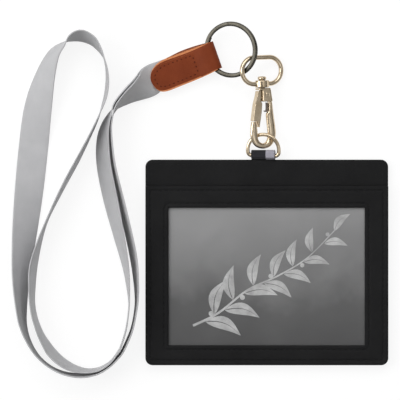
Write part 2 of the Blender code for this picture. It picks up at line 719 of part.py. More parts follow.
def make_gate_rivet(parts, metal, frame):
    reach = HEAD_HALF_THICKNESS + CLEAR / 3
    top = reach + RIVET_HEAD_HEIGHT
    edge = RIVET_HEAD_HEIGHT / 3
    dome = RIVET_HEAD_RADIUS - RIVET_HEAD_HEIGHT
    profile = [(0, top), (dome, top - edge / 2), (RIVET_HEAD_RADIUS, reach + edge),
               (RIVET_HEAD_RADIUS, reach), (RIVET_RADIUS, reach), (RIVET_RADIUS, -reach),
               (RIVET_HEAD_RADIUS, -reach), (RIVET_HEAD_RADIUS, -reach - edge),
               (dome, -top + edge / 2), (0, -top)]
    return turned("gate_rivet", profile, "Z", parts, metal, frame, steps=20)


def make_gate_spring(parts, metal, frame):
    """Bent leaf that lies against the bar's inner wall, in the window beside the gate."""
    route = [(2.1, -8.9), (2.12, -10.6), (2.05, -12.2), (1.75, -13.0), (1.25, -13.2), (0.95, -12.7)]
    points = [(*hook_point(u, v), 0) for u, v in smooth_curve(route, 3)]
    return wire("gate_spring", points, SPRING_STRIP / 2, parts, metal, frame,
                resolution=0, flat=SPRING_HALF_WIDTH)


def make_swivel_eye(parts, cutters, metal, frame):
    """Oval eye whose lower side runs through a collar, bored for the shank."""
    half_height = (EYE_HEIGHT - EYE_WIRE) / 2
    straight = (EYE_WIDTH - EYE_WIRE) / 2 - half_height
    centre = half_height
    path = arc((straight, centre), half_height, -90, 90, 14)
    path += arc((-straight, centre), half_height, 90, 270, 14)
    ring = wire("swivel_eye", [(x, y, 0) for x, y in path], EYE_WIRE / 2, parts, parent=frame,
                cyclic=True)
    eye = curve_to_mesh(ring)
    eye.data.materials.append(metal)
    half = COLLAR_HEIGHT / 2
    lip = COLLAR_LIP
    waist = COLLAR_RADIUS - 0.7 * lip
    collar = turned("eye_collar", [
        (0, half), (COLLAR_RADIUS - lip, half), (COLLAR_RADIUS, half - lip), (waist, half - 2.6 * lip),
        (waist, 2.6 * lip - half), (COLLAR_RADIUS, lip - half), (COLLAR_RADIUS - lip, -half), (0, -half),
    ], "Y", cutters, parent=frame, steps=28)
    bore = round_bore("eye_bore", SHANK_RADIUS + CLEAR, "Y", cutters, frame)
    for cutter, operation in ((collar, "UNION"), (bore, "DIFFERENCE")):
        as_cutter(cutter, cutters)
        boolean(eye, cutter, operation)
    apply_modifiers(eye)
    shade_round(eye)
    return eye


def make_key_ring(parts, metal, frame):
    """Split ring: the wire climbs from its lower turn to its upper turn in one short step."""
    radius = (RING_OUTER - RING_RADIAL) / 2
    half_pitch = (RING_TURN_HEIGHT + RING_TURN_GAP) / 2
    steps = RING_STEPS_PER_TURN
    first = RING_STEP_HALF
    last = 4 * math.pi - RING_STEP_HALF
    count = round(steps * (last - first) / (2 * math.pi))
    points = []
    for step in range(count + 1):
        angle = first + (last - first) * step / count
        climb = (angle - 2 * math.pi) / (2 * RING_STEP_HALF) + 0.5
        climb = min(max(climb, 0.0), 1.0)
        height = half_pitch * (2 * climb * climb * (3 - 2 * climb) - 1)
        azimuth = RING_START + angle
        points.append((radius * math.cos(azimuth), radius * math.sin(azimuth), height))
    across = [math.radians(90)] * len(points)
    return wire("key_ring", points, RING_TURN_HEIGHT / 2, parts, metal, frame, resolution=1,
                flat=(RING_RADIAL - RING_TURN_HEIGHT) / 2, tilts=across)


# Heights inside the leather tab

LEAF_SLOT = 2 * RIBBON_THICKNESS + 3 * SHEET_GAP
LOWER_RIBBON = LEATHER_BOTTOM + LEATHER_THICKNESS + SHEET_GAP + RIBBON_THICKNESS / 2
RIBBON_STEP = RIBBON_THICKNESS + SHEET_GAP


def leather_section():
    """Closed outline of the folded strip, along the tab and up, with the fold at the ring."""
    half = LEATHER_THICKNESS / 2
    low = LEATHER_BOTTOM + half
    leaf = LEATHER_BOTTOM + LEATHER_THICKNESS + LEAF_SLOT + half
    crest = LEATHER_BOTTOM + LEATHER_THICKNESS + LEATHER_CAVITY + half
    middle = (low + crest) / 2
    turn = crest - middle
    fold = LEATHER_REACH - half - turn
    unit = LEATHER_UNIT
    centre_line = [(-LEATHER_LENGTH, low), (-20 * unit, low), (-8 * unit, low), (-3 * unit, low)]
    centre_line += [(x, y) for x, y in arc((fold, middle), turn, -90, 90, 8)]
    centre_line += [(-4.2 * unit, crest), (-6.6 * unit, (crest * 2 + leaf) / 3),
                    (-8.4 * unit, leaf), (-20 * unit, leaf), (-LEATHER_LENGTH, leaf)]
    outer, inner = [], []
    for index, point in enumerate(centre_line):
        before = Vector(centre_line[max(index - 1, 0)])
        after = Vector(centre_line[min(index + 1, len(centre_line) - 1)])
        run = (after - before).normalized()
        offset = Vector((run.y, -run.x)) * half
        outer.append(tuple(Vector(point) + offset))
        inner.append(tuple(Vector(point) - offset))
    return outer + inner[::-1]


def make_leather_tab(parts, cutters, leather, frame):
    """Strip folded round the ring; its front and back leaves have their own cut outlines."""
    tab = plate("leather_tab", [leather_section()], -LEATHER_STRIP / 2, LEATHER_STRIP / 2,
                parts, leather, frame)
    upright = Matrix(((1, 0, 0, 0), (0, 0, -1, 0), (0, 1, 0, 0), (0, 0, 0, 1)))
    tab.data.transform(upright)
    front = [(2.0, 6.6), (-1.0, 6.5), (-4.5, 5.9), (-13.0, 5.4), (-22.0, 5.3), (-26.6, 4.7),
             (-30.0, 2.9), (-31.8, 0.4), (-32.2, -2.2), (-31.4, -5.2), (-29.6, -7.4), (-26.3, -8.2),
             (-20.0, -8.0), (-13.0, -7.7), (-5.0, -7.2), (2.0, -6.6)]
    back = [(2.0, 6.6), (-5.0, 7.3), (-13.0, 7.4), (-18.0, 6.9), (-25.0, 5.8), (-29.0, 3.8),
            (-31.3, 1.0), (-31.8, -1.8), (-31.0, -4.6), (-28.6, -6.6), (-24.0, -7.3),
            (-13.0, -7.2), (-5.0, -7.0), (2.0, -6.6)]
    divide = LOWER_RIBBON + RIBBON_STEP / 2
    above = LEATHER_BOTTOM + 2 * LEATHER_THICKNESS + LEATHER_CAVITY + LEATHER_THICKNESS
    limits = ((front, divide, above), (back, -LEATHER_THICKNESS, divide))
    keep = None
    for index, (outline, low, high) in enumerate(limits):
        spots = [(x * LEATHER_UNIT, y * LEATHER_UNIT) for x, y in smooth_curve(outline, 2)]
        shape = plate(f"leaf_outline_{index}", [spots], low, high, cutters, parent=frame)
        as_cutter(shape, cutters)
        if keep is None:
            keep = shape
        else:
            boolean(keep, shape, "UNION")
    apply_modifiers(keep)
    boolean(tab, keep, "INTERSECT")
    return tab


def ribbon_height(roll, lift):
    """Height of the ribbon's middle when its lower edge is lift above the table."""
    half = RIBBON_WIDTH / 2
    return lift + half * abs(math.sin(roll)) + RIBBON_THICKNESS / 2 * abs(math.cos(roll))


def tab_point(along, side):
    """World place of a point of the leather tab, along it towards the ring and across it."""
    cosine, sine = math.cos(LEATHER_ANGLE), math.sin(LEATHER_ANGLE)
    return Vector((TAB_PLACE.x + along * cosine - side * sine,
                   TAB_PLACE.y + along * sine + side * cosine))


def ribbon_route():
    """The whole ribbon from end to end as x, y, lift of its lower edge and roll."""
    flat_lift = LOWER_RIBBON - RIBBON_THICKNESS / 2
    loops = [(LEFT + x * ROUTE_UNIT, TAB_PLACE.y + y * ROUTE_UNIT, TABLE_GAP, math.radians(roll))
             for x, y, roll in LOOP_RUN]
    shared = []
    for depth in (RIBBON_TAIL, RIBBON_TAIL / 2, ROUTE_UNIT, -1.5 * ROUTE_UNIT):
        place = tab_point(depth - LEATHER_LENGTH, RIBBON_SIDE)
        shared.append(Vector((*place, flat_lift, 0.0)))
    spreads = [RIBBON_STEP] * len(shared)
    start = tab_point(-LEATHER_LENGTH, RIBBON_SIDE)
    way = Vector(loops[0][:2]) - start
    aside = Vector((-way.y, way.x)).normalized()
    for index, (share, side, roll, spread) in enumerate(SHARED_RUN):
        place = start + way * share + aside * side * ROUTE_UNIT
        lift = TABLE_GAP + (flat_lift - TABLE_GAP) * (1 - (index + 1) / len(SHARED_RUN))
        shared.append(Vector((*place, lift, math.radians(roll))))
        spreads.append(spread * ROUTE_UNIT)
    # The far end comes back on top of the near one, set off along its face's normal
    back = []
    for index, point in enumerate(shared):
        before = shared[max(index - 1, 0)]
        after = shared[min(index + 1, len(shared) - 1)]
        run = Vector((after.x - before.x, after.y - before.y)).normalized()
        side = math.sin(point.w) * spreads[index]
        back.append((point.x + side * run.y, point.y - side * run.x,
                     point.z + math.cos(point.w) * spreads[index], -2 * math.pi - point.w))
    return [tuple(point) for point in shared] + loops + back[::-1]


def ribbon_stations(spots):
    """Those of the close spots that a ribbon needs to keep its run and its twist even."""
    kept = [spots[0]]
    used = 0.0
    for before, spot in zip(spots, spots[1:]):
        run = math.dist(before[:2], spot[:2])
        used += max(run / STATION_RUN, abs(spot[3] - before[3]) / STATION_TWIST)
        if used >= 1.0:
            kept.append(spot)
            used = 0.0
    if kept[-1] != spots[-1]:
        kept.append(spots[-1])
    return kept


def make_neck_strap(parts, ribbon, pivot):
    """Ribbon with a flat section; both faces are divided along the same diagonals."""
    spots = ribbon_stations(smooth_curve(ribbon_route(), 24))
    across = RIBBON_WIDTH / 2
    through = RIBBON_THICKNESS / 2
    data = bpy.data.meshes.new("neck_strap")
    work = bmesh.new()
    rows = []
    for index, (x, y, lift, roll) in enumerate(spots):
        before = spots[max(index - 1, 0)]
        after = spots[min(index + 1, len(spots) - 1)]
        run = Vector((after[0] - before[0], after[1] - before[1], 0)).normalized()
        left = Vector((-run.y, run.x, 0))
        up = Vector((0, 0, 1))
        width = left * math.cos(roll) + up * math.sin(roll)
        face = up * math.cos(roll) - left * math.sin(roll)
        middle = Vector((x, y, ribbon_height(roll, max(lift, TABLE_GAP))))
        rows.append([work.verts.new(middle + width * a + face * b) for a, b in (
            (-across, through), (across, through), (across, -through), (-across, -through))])
    for first, second in zip(rows, rows[1:]):
        # The top splits from its first corner and the underside from the one below it
        for corner, after, flip in ((0, 1, False), (1, 2, False), (2, 3, True), (3, 0, False)):
            quad = (first[corner], first[after], second[after], second[corner])
            if flip:
                quad = quad[1:] + quad[:1]
            work.faces.new((quad[0], quad[1], quad[2]))
            work.faces.new((quad[0], quad[2], quad[3]))
    for row in (rows[0], rows[-1]):
        work.faces.new(row)
    bmesh.ops.recalc_face_normals(work, faces=work.faces)
    work.to_mesh(data)
    work.free()
    strap = add_object("neck_strap", data, parts, ribbon, pivot)
    strap.location = -pivot.location
    return strap


def main():
    clear_scene()
    parts = new_collection("card_holder_with_lanyard")
    cutters = new_collection("cutters")
    cutters.hide_render = True

    leather = make_material("black_leather", BLACK_LEATHER, 0.55)
    board = make_material("grey_board", BOARD_GREY, 0.9)
    paper = make_material("printed_card", CARD_GREY, 0.5)
    clear_film = make_material("clear_film", FILM_CLEAR, 0.08)
    webbing = make_material("black_webbing", WEBBING_BLACK, 0.85)
    gold = make_material("pale_gold", PALE_GOLD, 0.28, 1.0)
    steel = make_material("spring_steel", SPRING_STEEL, 0.4, 1.0)
    bronze = make_material("dark_bronze", DARK_BRONZE, 0.3, 1.0)
    saddle = make_material("saddle_leather", SADDLE_BROWN, 0.5)
    ribbon = make_material("grey_ribbon", RIBBON_GREY, 0.8)

    make_back_panel(parts, cutters, leather)
    make_stiffener(parts, board)
    make_inner_panel(parts, leather)
    make_insert_card(parts, paper)
    make_window_film(parts, clear_film)
    make_front_panel(parts, cutters, leather)
    make_tab_webbing(parts, webbing)

    d_pivot = add_empty("d_ring_pivot", parts, D_BAR, (D_PITCH, -D_ROLL, 0), "YXZ")
    make_d_ring(parts, gold, d_pivot)

    hook_pivot = add_empty("hook_pivot", parts, D_ARC)
    hook_frame = add_empty("hook_frame", parts, HOOK_PLACE - D_ARC,
                           (HOOK_PITCH, HOOK_ROLL, HOOK_YAW), "YXZ", hook_pivot)
    make_hook_body(parts, cutters, gold, hook_frame)
    gate_pivot = add_empty("gate_pivot", parts, (PIVOT_U, PIVOT_V, 0), parent=hook_frame)
    make_gate(parts, cutters, gold, gate_pivot)
    make_gate_rivet(parts, gold, gate_pivot)
    make_gate_spring(parts, steel, hook_frame)
    make_swivel_eye(parts, cutters, gold, hook_frame)

    fold_pivot = add_empty("ring_fold_pivot", parts, FOLD_PLACE)
    ring_frame = add_empty("ring_frame", parts, RING_PLACE - FOLD_PLACE,
                           (0, -RING_TILT, RING_HEADING), "XYZ", fold_pivot)
    make_key_ring(parts, bronze, ring_frame)
    tab_pivot = add_empty("tab_pivot", parts, RING_PLACE)
    tab_frame = add_empty("leather_frame", parts, TAB_PLACE - RING_PLACE, (0, 0, LEATHER_ANGLE),
                          parent=tab_pivot)
    make_leather_tab(parts, cutters, saddle, tab_frame)
    make_neck_strap(parts, ribbon, tab_pivot)


main()
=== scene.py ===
"""Studio scene of the card holder: detailed leather, ribbon, webbing and metal over the CAD frame."""

import math

import bmesh
import bpy
from mathutils import Euler, Matrix, Vector

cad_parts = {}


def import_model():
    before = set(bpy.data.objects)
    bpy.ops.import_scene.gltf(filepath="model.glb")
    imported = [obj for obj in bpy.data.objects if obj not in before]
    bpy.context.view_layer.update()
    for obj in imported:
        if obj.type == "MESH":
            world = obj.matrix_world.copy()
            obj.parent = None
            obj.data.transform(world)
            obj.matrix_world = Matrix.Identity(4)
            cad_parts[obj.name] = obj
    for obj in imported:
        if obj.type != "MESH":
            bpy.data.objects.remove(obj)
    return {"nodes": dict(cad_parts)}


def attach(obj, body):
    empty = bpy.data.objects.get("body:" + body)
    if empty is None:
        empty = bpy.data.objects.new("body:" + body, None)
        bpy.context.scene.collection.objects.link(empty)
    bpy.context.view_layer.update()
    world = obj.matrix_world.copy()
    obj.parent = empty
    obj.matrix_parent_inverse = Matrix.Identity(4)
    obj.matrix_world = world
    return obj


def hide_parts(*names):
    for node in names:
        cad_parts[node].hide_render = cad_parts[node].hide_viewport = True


MM = 0.001

# Camera: straight down, long lens
PIXEL = 0.4742 * MM
VIEW_CENTRE = (-31.7 * MM, 29.6 * MM)
CAMERA_HEIGHT = 1.6
SENSOR = 36.0
FOCUS_HEIGHT = 4.0 * MM
PICTURE_WIDTH = 400

# Holder: the CAD source's layers, its outline a little fuller with the hems' own bulge
LEFT, RIGHT = -57.6 * MM, 57.6 * MM
BOTTOM, TOP = -48.75 * MM, 48.75 * MM
MOUTH = 36.4 * MM
CORNER = 3.4 * MM
LINER_LOW, LINER_HIGH = 2.3 * MM, 2.8 * MM
BACK_HIGH = 2.05 * MM
FRONT_LOW, FRONT_HIGH = 3.05 * MM, 4.85 * MM
FRONT_SHEET = 4.05 * MM
WINDOW = (-46.6 * MM, 46.4 * MM, -39.3 * MM, 25.9 * MM)
WINDOW_STITCH = 2.07 * MM
WINDOW_CORNER = 0.35 * MM
HEM = 5.0 * MM
STITCH_PITCH = 2.8 * MM
STITCH_INSET = 2.4 * MM

# Lanyard hardware frames, as in the CAD source
TAB_X = -1.66 * MM
D_BAR = Vector((-1.66, 50.65, 2.9)) * MM
D_PITCH, D_ROLL = math.radians(10.3), math.radians(11.0)
HOOK_PLACE = Vector((-2.33, 84.604, 5.6997)) * MM
HOOK_TURN = (math.radians(3.0), math.radians(27.6), math.radians(1.56))
HOOK_STRETCH = 1.04
RIVET_BORE, EYE_BORE = 0.8, 1.55
RIVET_FRAME = Matrix.Translation((1.63 * MM, -5.18 * MM, 0)) @ Matrix.Rotation(math.pi / 2, 4, "X")
RING_PLACE = Vector((-17.0, 100.754, 7.2997)) * MM
RING_TURN = (0.0, math.radians(-23.0), math.radians(18.0))
TAB_PLACE = Vector((-25.0, 98.104, 0.0)) * MM
TAB_ANGLE = math.radians(19.3)


# Mesh helpers

def new_object(name, mesh, material=None):
    piece = bpy.data.objects.new(name, mesh)
    bpy.context.scene.collection.objects.link(piece)
    if material is not None:
        mesh.materials.append(material)
    return piece


def mesh_from(name, verts, faces, smooth=True):
    mesh = bpy.data.meshes.new(name)
    mesh.from_pydata([tuple(v) for v in verts], [], faces)
    mesh.validate()
    work = bmesh.new()
    work.from_mesh(mesh)
    bmesh.ops.recalc_face_normals(work, faces=work.faces)
    work.to_mesh(mesh)
    work.free()
    if smooth:
        mesh.shade_smooth()
    return mesh


def apply_modifiers(piece):
    graph = bpy.context.evaluated_depsgraph_get()
    graph.update()
    shape = bpy.data.meshes.new_from_object(piece.evaluated_get(graph))
    piece.modifiers.clear()
    old = piece.data
    piece.data = shape
    bpy.data.meshes.remove(old)


def sharpen(piece, angle):
    piece.data.shade_smooth()
    piece.data.set_sharp_from_angle(angle=math.radians(angle))


def smooth_curve(points, steps):
    """Points along a Catmull-Rom curve through the given points, any number of values each."""
    padded = [points[0], *points, points[-1]]
    result = []
    for index in range(1, len(padded) - 2):
        before, start, end, after = padded[index - 1:index + 3]
        for step in range(steps):
            t = step / steps
            result.append(tuple(
                0.5 * (2 * s + (e - b) * t + (2 * b - 5 * s + 4 * e - a) * t ** 2
                       + (3 * s - b - 3 * e + a) * t ** 3)
                for b, s, e, a in zip(before, start, end, after)))
    result.append(tuple(points[-1]))
    return result


def arc(centre, radius, start, end, steps):
    points = []
    for step in range(steps + 1):
        angle = math.radians(start + (end - start) * step / steps)
        points.append((centre[0] + radius * math.cos(angle), centre[1] + radius * math.sin(angle)))
    return points


def neighbours(points, index):
    """Points before and after one in an open run; at an end, the end itself."""
    return points[max(index - 1, 0)], points[min(index + 1, len(points) - 1)]


def superellipse(sides, power=2.0):
    """Points round a unit superellipse: power 2 is a circle, a higher one is squarer."""
    points = []
    for corner in range(sides):
        angle = 2 * math.pi * corner / sides
        c, s = math.cos(angle), math.sin(angle)
        points.append((math.copysign(abs(c) ** (2 / power), c), math.copysign(abs(s) ** (2 / power), s)))
    return points


def band_faces(rows, sides, start=0, closed=False, capped=False):
    """Quads between closed rows of points, with a face over each end if capped."""
    faces = []
    for row in range(rows if closed else rows - 1):
        this, after = start + row * sides, start + (row + 1) % rows * sides
        for side in range(sides):
            turn = (side + 1) % sides
            faces.append((this + side, this + turn, after + turn, after + side))
    if capped:
        for first in (start, start + (rows - 1) * sides):
            faces.append(tuple(range(first, first + sides)))
    return faces


def thick_sheet(name, verts, columns, thickness, soft_edge, angles, material, uvs=None, rim=None):
    """Open grid of points as a sheet with soft edges; angles are the bevel's and the sharp edges'."""
    rows = len(verts) // (columns + 1) - 1
    faces = []
    for row in range(rows):
        for column in range(columns):
            first = row * (columns + 1) + column
            faces.append((first, first + 1, first + columns + 2, first + columns + 1))
    mesh = bpy.data.meshes.new(name)
    mesh.from_pydata(verts, [], faces)
    if uvs is not None:
        layer = mesh.uv_layers.new(name="weave")
        for loop in mesh.loops:
            layer.data[loop.index].uv = uvs[loop.vertex_index]
    mesh.shade_smooth()
    piece = new_object(name, mesh, material)
    solid = piece.modifiers.new("thickness", "SOLIDIFY")
    solid.thickness = thickness
    solid.offset = 0.0
    if rim is not None:
        mesh.materials.append(rim)
        solid.use_even_offset = True
        solid.material_offset_rim = 1
    soften = piece.modifiers.new("edges", "BEVEL")
    soften.width = soft_edge
    soften.segments = 2
    soften.limit_method = "ANGLE"
    soften.angle_limit = math.radians(angles[0])
    apply_modifiers(piece)
    sharpen(piece, angles[1])
    return piece


def read_curve(points, x):
    """Values at x on the straight runs between points, which are sorted by their first value."""
    if x <= points[0][0]:
        return points[0][1:]
    for a, b in zip(points, points[1:]):
        if a[0] <= x <= b[0]:
            t = (x - a[0]) / max(b[0] - a[0], 1e-9)
            return tuple(p + (q - p) * t for p, q in zip(a[1:], b[1:]))
    return points[-1][1:]


def tube(name, path, radius_in, radius_up, normal, sides, material, cyclic=False, power=2.0):
    """Wire swept along points; its section is a superellipse, radius_up along the normal."""
    count = len(path)
    section = superellipse(sides, power)
    verts = []
    for index, point in enumerate(path):
        if cyclic:
            before, after = path[index - 1], path[(index + 1) % count]
        else:
            before, after = neighbours(path, index)
        run = (after - before).normalized()
        up = (normal - run * normal.dot(run)).normalized()
        side = run.cross(up)
        verts += [point + side * radius_in * c + up * radius_up * s for c, s in section]
    faces = band_faces(count, sides, closed=cyclic, capped=not cyclic)
    return new_object(name, mesh_from(name, verts, faces), material)


# Material helpers

def new_material(name):
    material = bpy.data.materials.new(name)
    material.use_nodes = True
    return material, material.node_tree, material.node_tree.nodes["Principled BSDF"]


def feed(tree, made, values):
    """Set a node's inputs or settings from numbers, colours and the outputs of other nodes."""
    for key, value in values.items():
        if key not in made.inputs:
            setattr(made, key, value)
        elif isinstance(value, bpy.types.NodeSocket):
            tree.links.new(value, made.inputs[key])
        else:
            made.inputs[key].default_value = value


def node(tree, kind, **values):
    made = tree.nodes.new(kind)
    feed(tree, made, values)
    return made


def coordinates(tree, which="Object"):
    return tree.nodes.new("ShaderNodeTexCoord").outputs[which]


def noise(tree, place, scale, detail=3.0, roughness=0.5):
    made = node(tree, "ShaderNodeTexNoise", Scale=scale, Detail=detail, Roughness=roughness, Vector=place)
    return made.outputs["Fac"]


def ramp(tree, value, stops):
    """Colour between stops of a position and a colour, or a grey given as one number."""
    made = node(tree, "ShaderNodeValToRGB", Fac=value)
    elements = made.color_ramp.elements
    while len(elements) < len(stops):
        elements.new(0.5)
    for element, (position, colour) in zip(elements, stops):
        element.position = position
        element.color = (*colour, 1.0) if isinstance(colour, tuple) else (colour, colour, colour, 1.0)
    return made.outputs["Color"]


def grey_range(tree, value, low, high, start=0.0, end=1.0):
    made = node(tree, "ShaderNodeMapRange", Value=value)
    feed(tree, made, {"From Min": start, "From Max": end, "To Min": low, "To Max": high})
    return made.outputs["Result"]


def calc(tree, operation, first, second=None, third=None):
    made = node(tree, "ShaderNodeMath", operation=operation)
    for socket, value in zip(made.inputs, (first, second, third)):
        if value is None:
            continue
        if isinstance(value, (int, float)):
            socket.default_value = value
        else:
            tree.links.new(value, socket)
    return made.outputs["Value"]


def bump(tree, shader, height, distance, strength=1.0):
    made = node(tree, "ShaderNodeBump", Strength=strength, Distance=distance, Height=height)
    tree.links.new(made.outputs["Normal"], shader.inputs["Normal"])


def leather_material(name, dark, light, grain, depth):
    """Pebbled leather: blotchy colour, cells for the grain and a finer noise over them."""
    material, tree, shader = new_material(name)
    place = coordinates(tree)
    blotch = noise(tree, place, 60.0, 4.0, 0.6)
    warp = node(tree, "ShaderNodeTexNoise", Scale=700.0, Detail=2.0, Vector=place)
    shift = node(tree, "ShaderNodeVectorMath", operation="MULTIPLY_ADD")
    shift.inputs[1].default_value = (0.0003, 0.0003, 0.0003)
    tree.links.new(warp.outputs["Color"], shift.inputs[0])
    tree.links.new(place, shift.inputs[2])
    cells = node(tree, "ShaderNodeTexVoronoi", Scale=1000.0 / grain, feature="DISTANCE_TO_EDGE",
                 Vector=shift.outputs["Vector"])
    edge = grey_range(tree, cells.outputs["Distance"], 0.0, 1.0, end=0.18)
    fine = noise(tree, place, 2600.0, 2.0)
    bump(tree, shader, calc(tree, "MULTIPLY_ADD", fine, 0.35, edge), depth * MM)
    feed(tree, shader, {"Base Color": ramp(tree, blotch, [(0.3, dark), (0.7, light)]),
                        "Roughness": grey_range(tree, blotch, 0.45, 0.57),
                        "Specular IOR Level": 0.12})
    return material


def metal_material(name, colour, dark, roughness, lines=0.008):
    """Plated metal: faint cloudiness in colour and gloss, and fine polishing lines."""
    material, tree, shader = new_material(name)
    place = coordinates(tree)
    cloud = noise(tree, place, 180.0, 4.0, 0.6)
    gloss = noise(tree, place, 900.0)
    feed(tree, shader, {"Base Color": ramp(tree, cloud, [(0.35, dark), (0.65, colour)]),
                        "Roughness": grey_range(tree, gloss, roughness - 0.05, roughness + 0.09),
                        "Metallic": 1.0})
    bump(tree, shader, noise(tree, place, 1500.0, 3.0, 0.6), lines * MM)
    return material


def woven_material(name, dark, light, rib, yarn, roughness, sheen, stripe=None):
    """Woven tape from UV in metres: u across, v along. Ribs run across it, yarns along it."""
    material, tree, shader = new_material(name)
    parts = node(tree, "ShaderNodeSeparateXYZ", Vector=coordinates(tree, "UV"))
    across, along = parts.outputs["X"], parts.outputs["Y"]
    blur = noise(tree, coordinates(tree), 90.0, 3.0, 0.6)
    weft = calc(tree, "SINE", calc(tree, "MULTIPLY", along, 2 * math.pi / (rib * MM)))
    warp = calc(tree, "SINE", calc(tree, "MULTIPLY", across, 2 * math.pi / (yarn * MM)))
    weave = calc(tree, "MULTIPLY_ADD", calc(tree, "MULTIPLY", weft, warp), 0.25,
                 calc(tree, "MULTIPLY_ADD", weft, 0.25, 0.5))
    tone = calc(tree, "MULTIPLY_ADD", blur, 0.5, calc(tree, "MULTIPLY", weave, 0.5))
    colour = ramp(tree, tone, [(0.25, dark), (0.75, light)])
    if stripe is not None:
        edge, pale = stripe
        shade = tuple(0.8 * c for c in pale)
        mix = node(tree, "ShaderNodeMix", data_type="RGBA", A=colour,
                   Factor=calc(tree, "GREATER_THAN", across, edge * MM),
                   B=ramp(tree, tone, [(0.2, shade), (0.8, pale)]))
        colour = mix.outputs["Result"]
    feed(tree, shader, {"Base Color": colour, "Roughness": roughness, "Specular IOR Level": 0.25,
                        "Sheen Weight": sheen, "Sheen Roughness": 0.5})
    bump(tree, shader, weave, 0.05 * MM)
    return material


def plain_fibre(name, dark, light, roughness, scale=1200.0):
    """Thread, board, cut leather and ink: an even colour with a fine grain."""
    material, tree, shader = new_material(name)
    grain = noise(tree, coordinates(tree), scale)
    feed(tree, shader, {"Base Color": ramp(tree, grain, [(0.3, dark), (0.7, light)]),
                        "Roughness": roughness, "Specular IOR Level": 0.15})
    bump(tree, shader, grain, 0.03 * MM)
    return material


def card_material():
    """Printed card: a soft grey shade from top to bottom with a faint cloudiness."""
    material, tree, shader = new_material("printed_card_visual")
    place = coordinates(tree)
    parts = node(tree, "ShaderNodeSeparateXYZ", Vector=place)
    fall = grey_range(tree, parts.outputs["Y"], 0.0, 1.0, WINDOW[2], WINDOW[3])
    cloud = noise(tree, place, 26.0, 5.0, 0.55)
    slant = calc(tree, "MULTIPLY_ADD", parts.outputs["X"], -1.4, fall)
    tone = calc(tree, "MULTIPLY_ADD", calc(tree, "SUBTRACT", cloud, 0.5), 0.8, slant)
    colour = ramp(tree, tone, [(0.0, (0.040, 0.040, 0.041)), (0.3, (0.070, 0.070, 0.071)),
                               (0.6, (0.195, 0.195, 0.197)), (1.0, (0.285, 0.285, 0.287))])
    feed(tree, shader, {"Base Color": colour, "Roughness": 0.6})
    bump(tree, shader, noise(tree, place, 2500.0, 2.0), 0.008 * MM)
    return material


def film_material():
    """Clear film: almost no colour, with faint smears and a slight wave."""
    material, tree, shader = new_material("clear_film_visual")
    place = coordinates(tree)
    smear = noise(tree, place, 120.0)
    feed(tree, shader, {"Base Color": (0.35, 0.35, 0.35, 1.0),
                        "Roughness": grey_range(tree, smear, 0.05, 0.12),
                        "Alpha": grey_range(tree, smear, 0.05, 0.08)})
    bump(tree, shader, noise(tree, place, 25.0, 1.0), 0.05 * MM, 0.3)
    return material


# Studio: camera, lights, floor

def make_camera():
    data = bpy.data.cameras.new("camera")
    camera = bpy.data.objects.new("camera", data)
    bpy.context.scene.collection.objects.link(camera)
    camera.location = (*VIEW_CENTRE, CAMERA_HEIGHT)
    data.sensor_width = SENSOR
    data.lens = SENSOR * (CAMERA_HEIGHT - FOCUS_HEIGHT) / (PICTURE_WIDTH * PIXEL)
    data.clip_end = 20.0
    bpy.context.scene.camera = camera


def area_light(name, place, target, size, watts):
    data = bpy.data.lights.new(name, "AREA")
    data.shape = "RECTANGLE"
    data.size, data.size_y = size
    data.energy = watts
    light = bpy.data.objects.new(name, data)
    bpy.context.scene.collection.objects.link(light)
    light.location = place
    way = Vector(target) - Vector(place)
    light.rotation_euler = way.to_track_quat("-Z", "Y").to_euler()


def make_studio():
    """Pale sky that is brightest above the horizon, and three soft lamps."""
    scene = bpy.context.scene
    scene.view_settings.view_transform = "Standard"
    scene.view_settings.look = "None"
    world = bpy.data.worlds.new("studio")
    scene.world = world
    world.use_nodes = True
    tree = world.node_tree
    parts = node(tree, "ShaderNodeSeparateXYZ", Vector=coordinates(tree, "Generated"))
    sky = ramp(tree, parts.outputs["Z"],
               [(0.0, 0.12), (0.3, 0.20), (0.55, 0.85), (0.8, 0.70), (1.0, 0.36)])
    feed(tree, tree.nodes["Background"], {"Color": sky, "Strength": 0.6})

    middle = (-0.03, 0.03, 0.0)
    area_light("key", (-0.12, 0.75, 0.85), middle, (1.4, 0.7), 6.8)
    area_light("fill", (0.42, -0.25, 1.0), middle, (0.6, 0.6), 1.0)
    area_light("left_rim", (-0.8, 0.1, 0.6), middle, (0.5, 0.9), 5.0)


def make_floor():
    """Pale floor that looks plain white to the camera and still takes soft shadows."""
    mesh = mesh_from("floor", [(-3, -3, 0), (3, -3, 0), (3, 3, 0), (-3, 3, 0)], [(0, 1, 2, 3)])
    material, tree, shader = new_material("floor")
    feed(tree, shader, {"Base Color": (0.85, 0.85, 0.85, 1), "Roughness": 0.9, "Specular IOR Level": 0.1})
    white = node(tree, "ShaderNodeEmission", Strength=1.06)
    rays = tree.nodes.new("ShaderNodeLightPath")
    seen = calc(tree, "MAXIMUM", rays.outputs["Is Camera Ray"], rays.outputs["Is Glossy Ray"])
    seen = calc(tree, "MAXIMUM", seen, rays.outputs["Is Transmission Ray"])
    mix = tree.nodes.new("ShaderNodeMixShader")
    tree.links.new(calc(tree, "MULTIPLY", seen, 0.8), mix.inputs["Fac"])
    tree.links.new(shader.outputs["BSDF"], mix.inputs[1])
    tree.links.new(white.outputs["Emission"], mix.inputs[2])
    tree.links.new(mix.outputs["Shader"], tree.nodes["Material Output"].inputs["Surface"])
    floor = new_object("floor", mesh, material)
    floor.location = (0, 0, -0.0003)


# Sheets with ring-shaped rows: rounded rectangles from one outline in to another

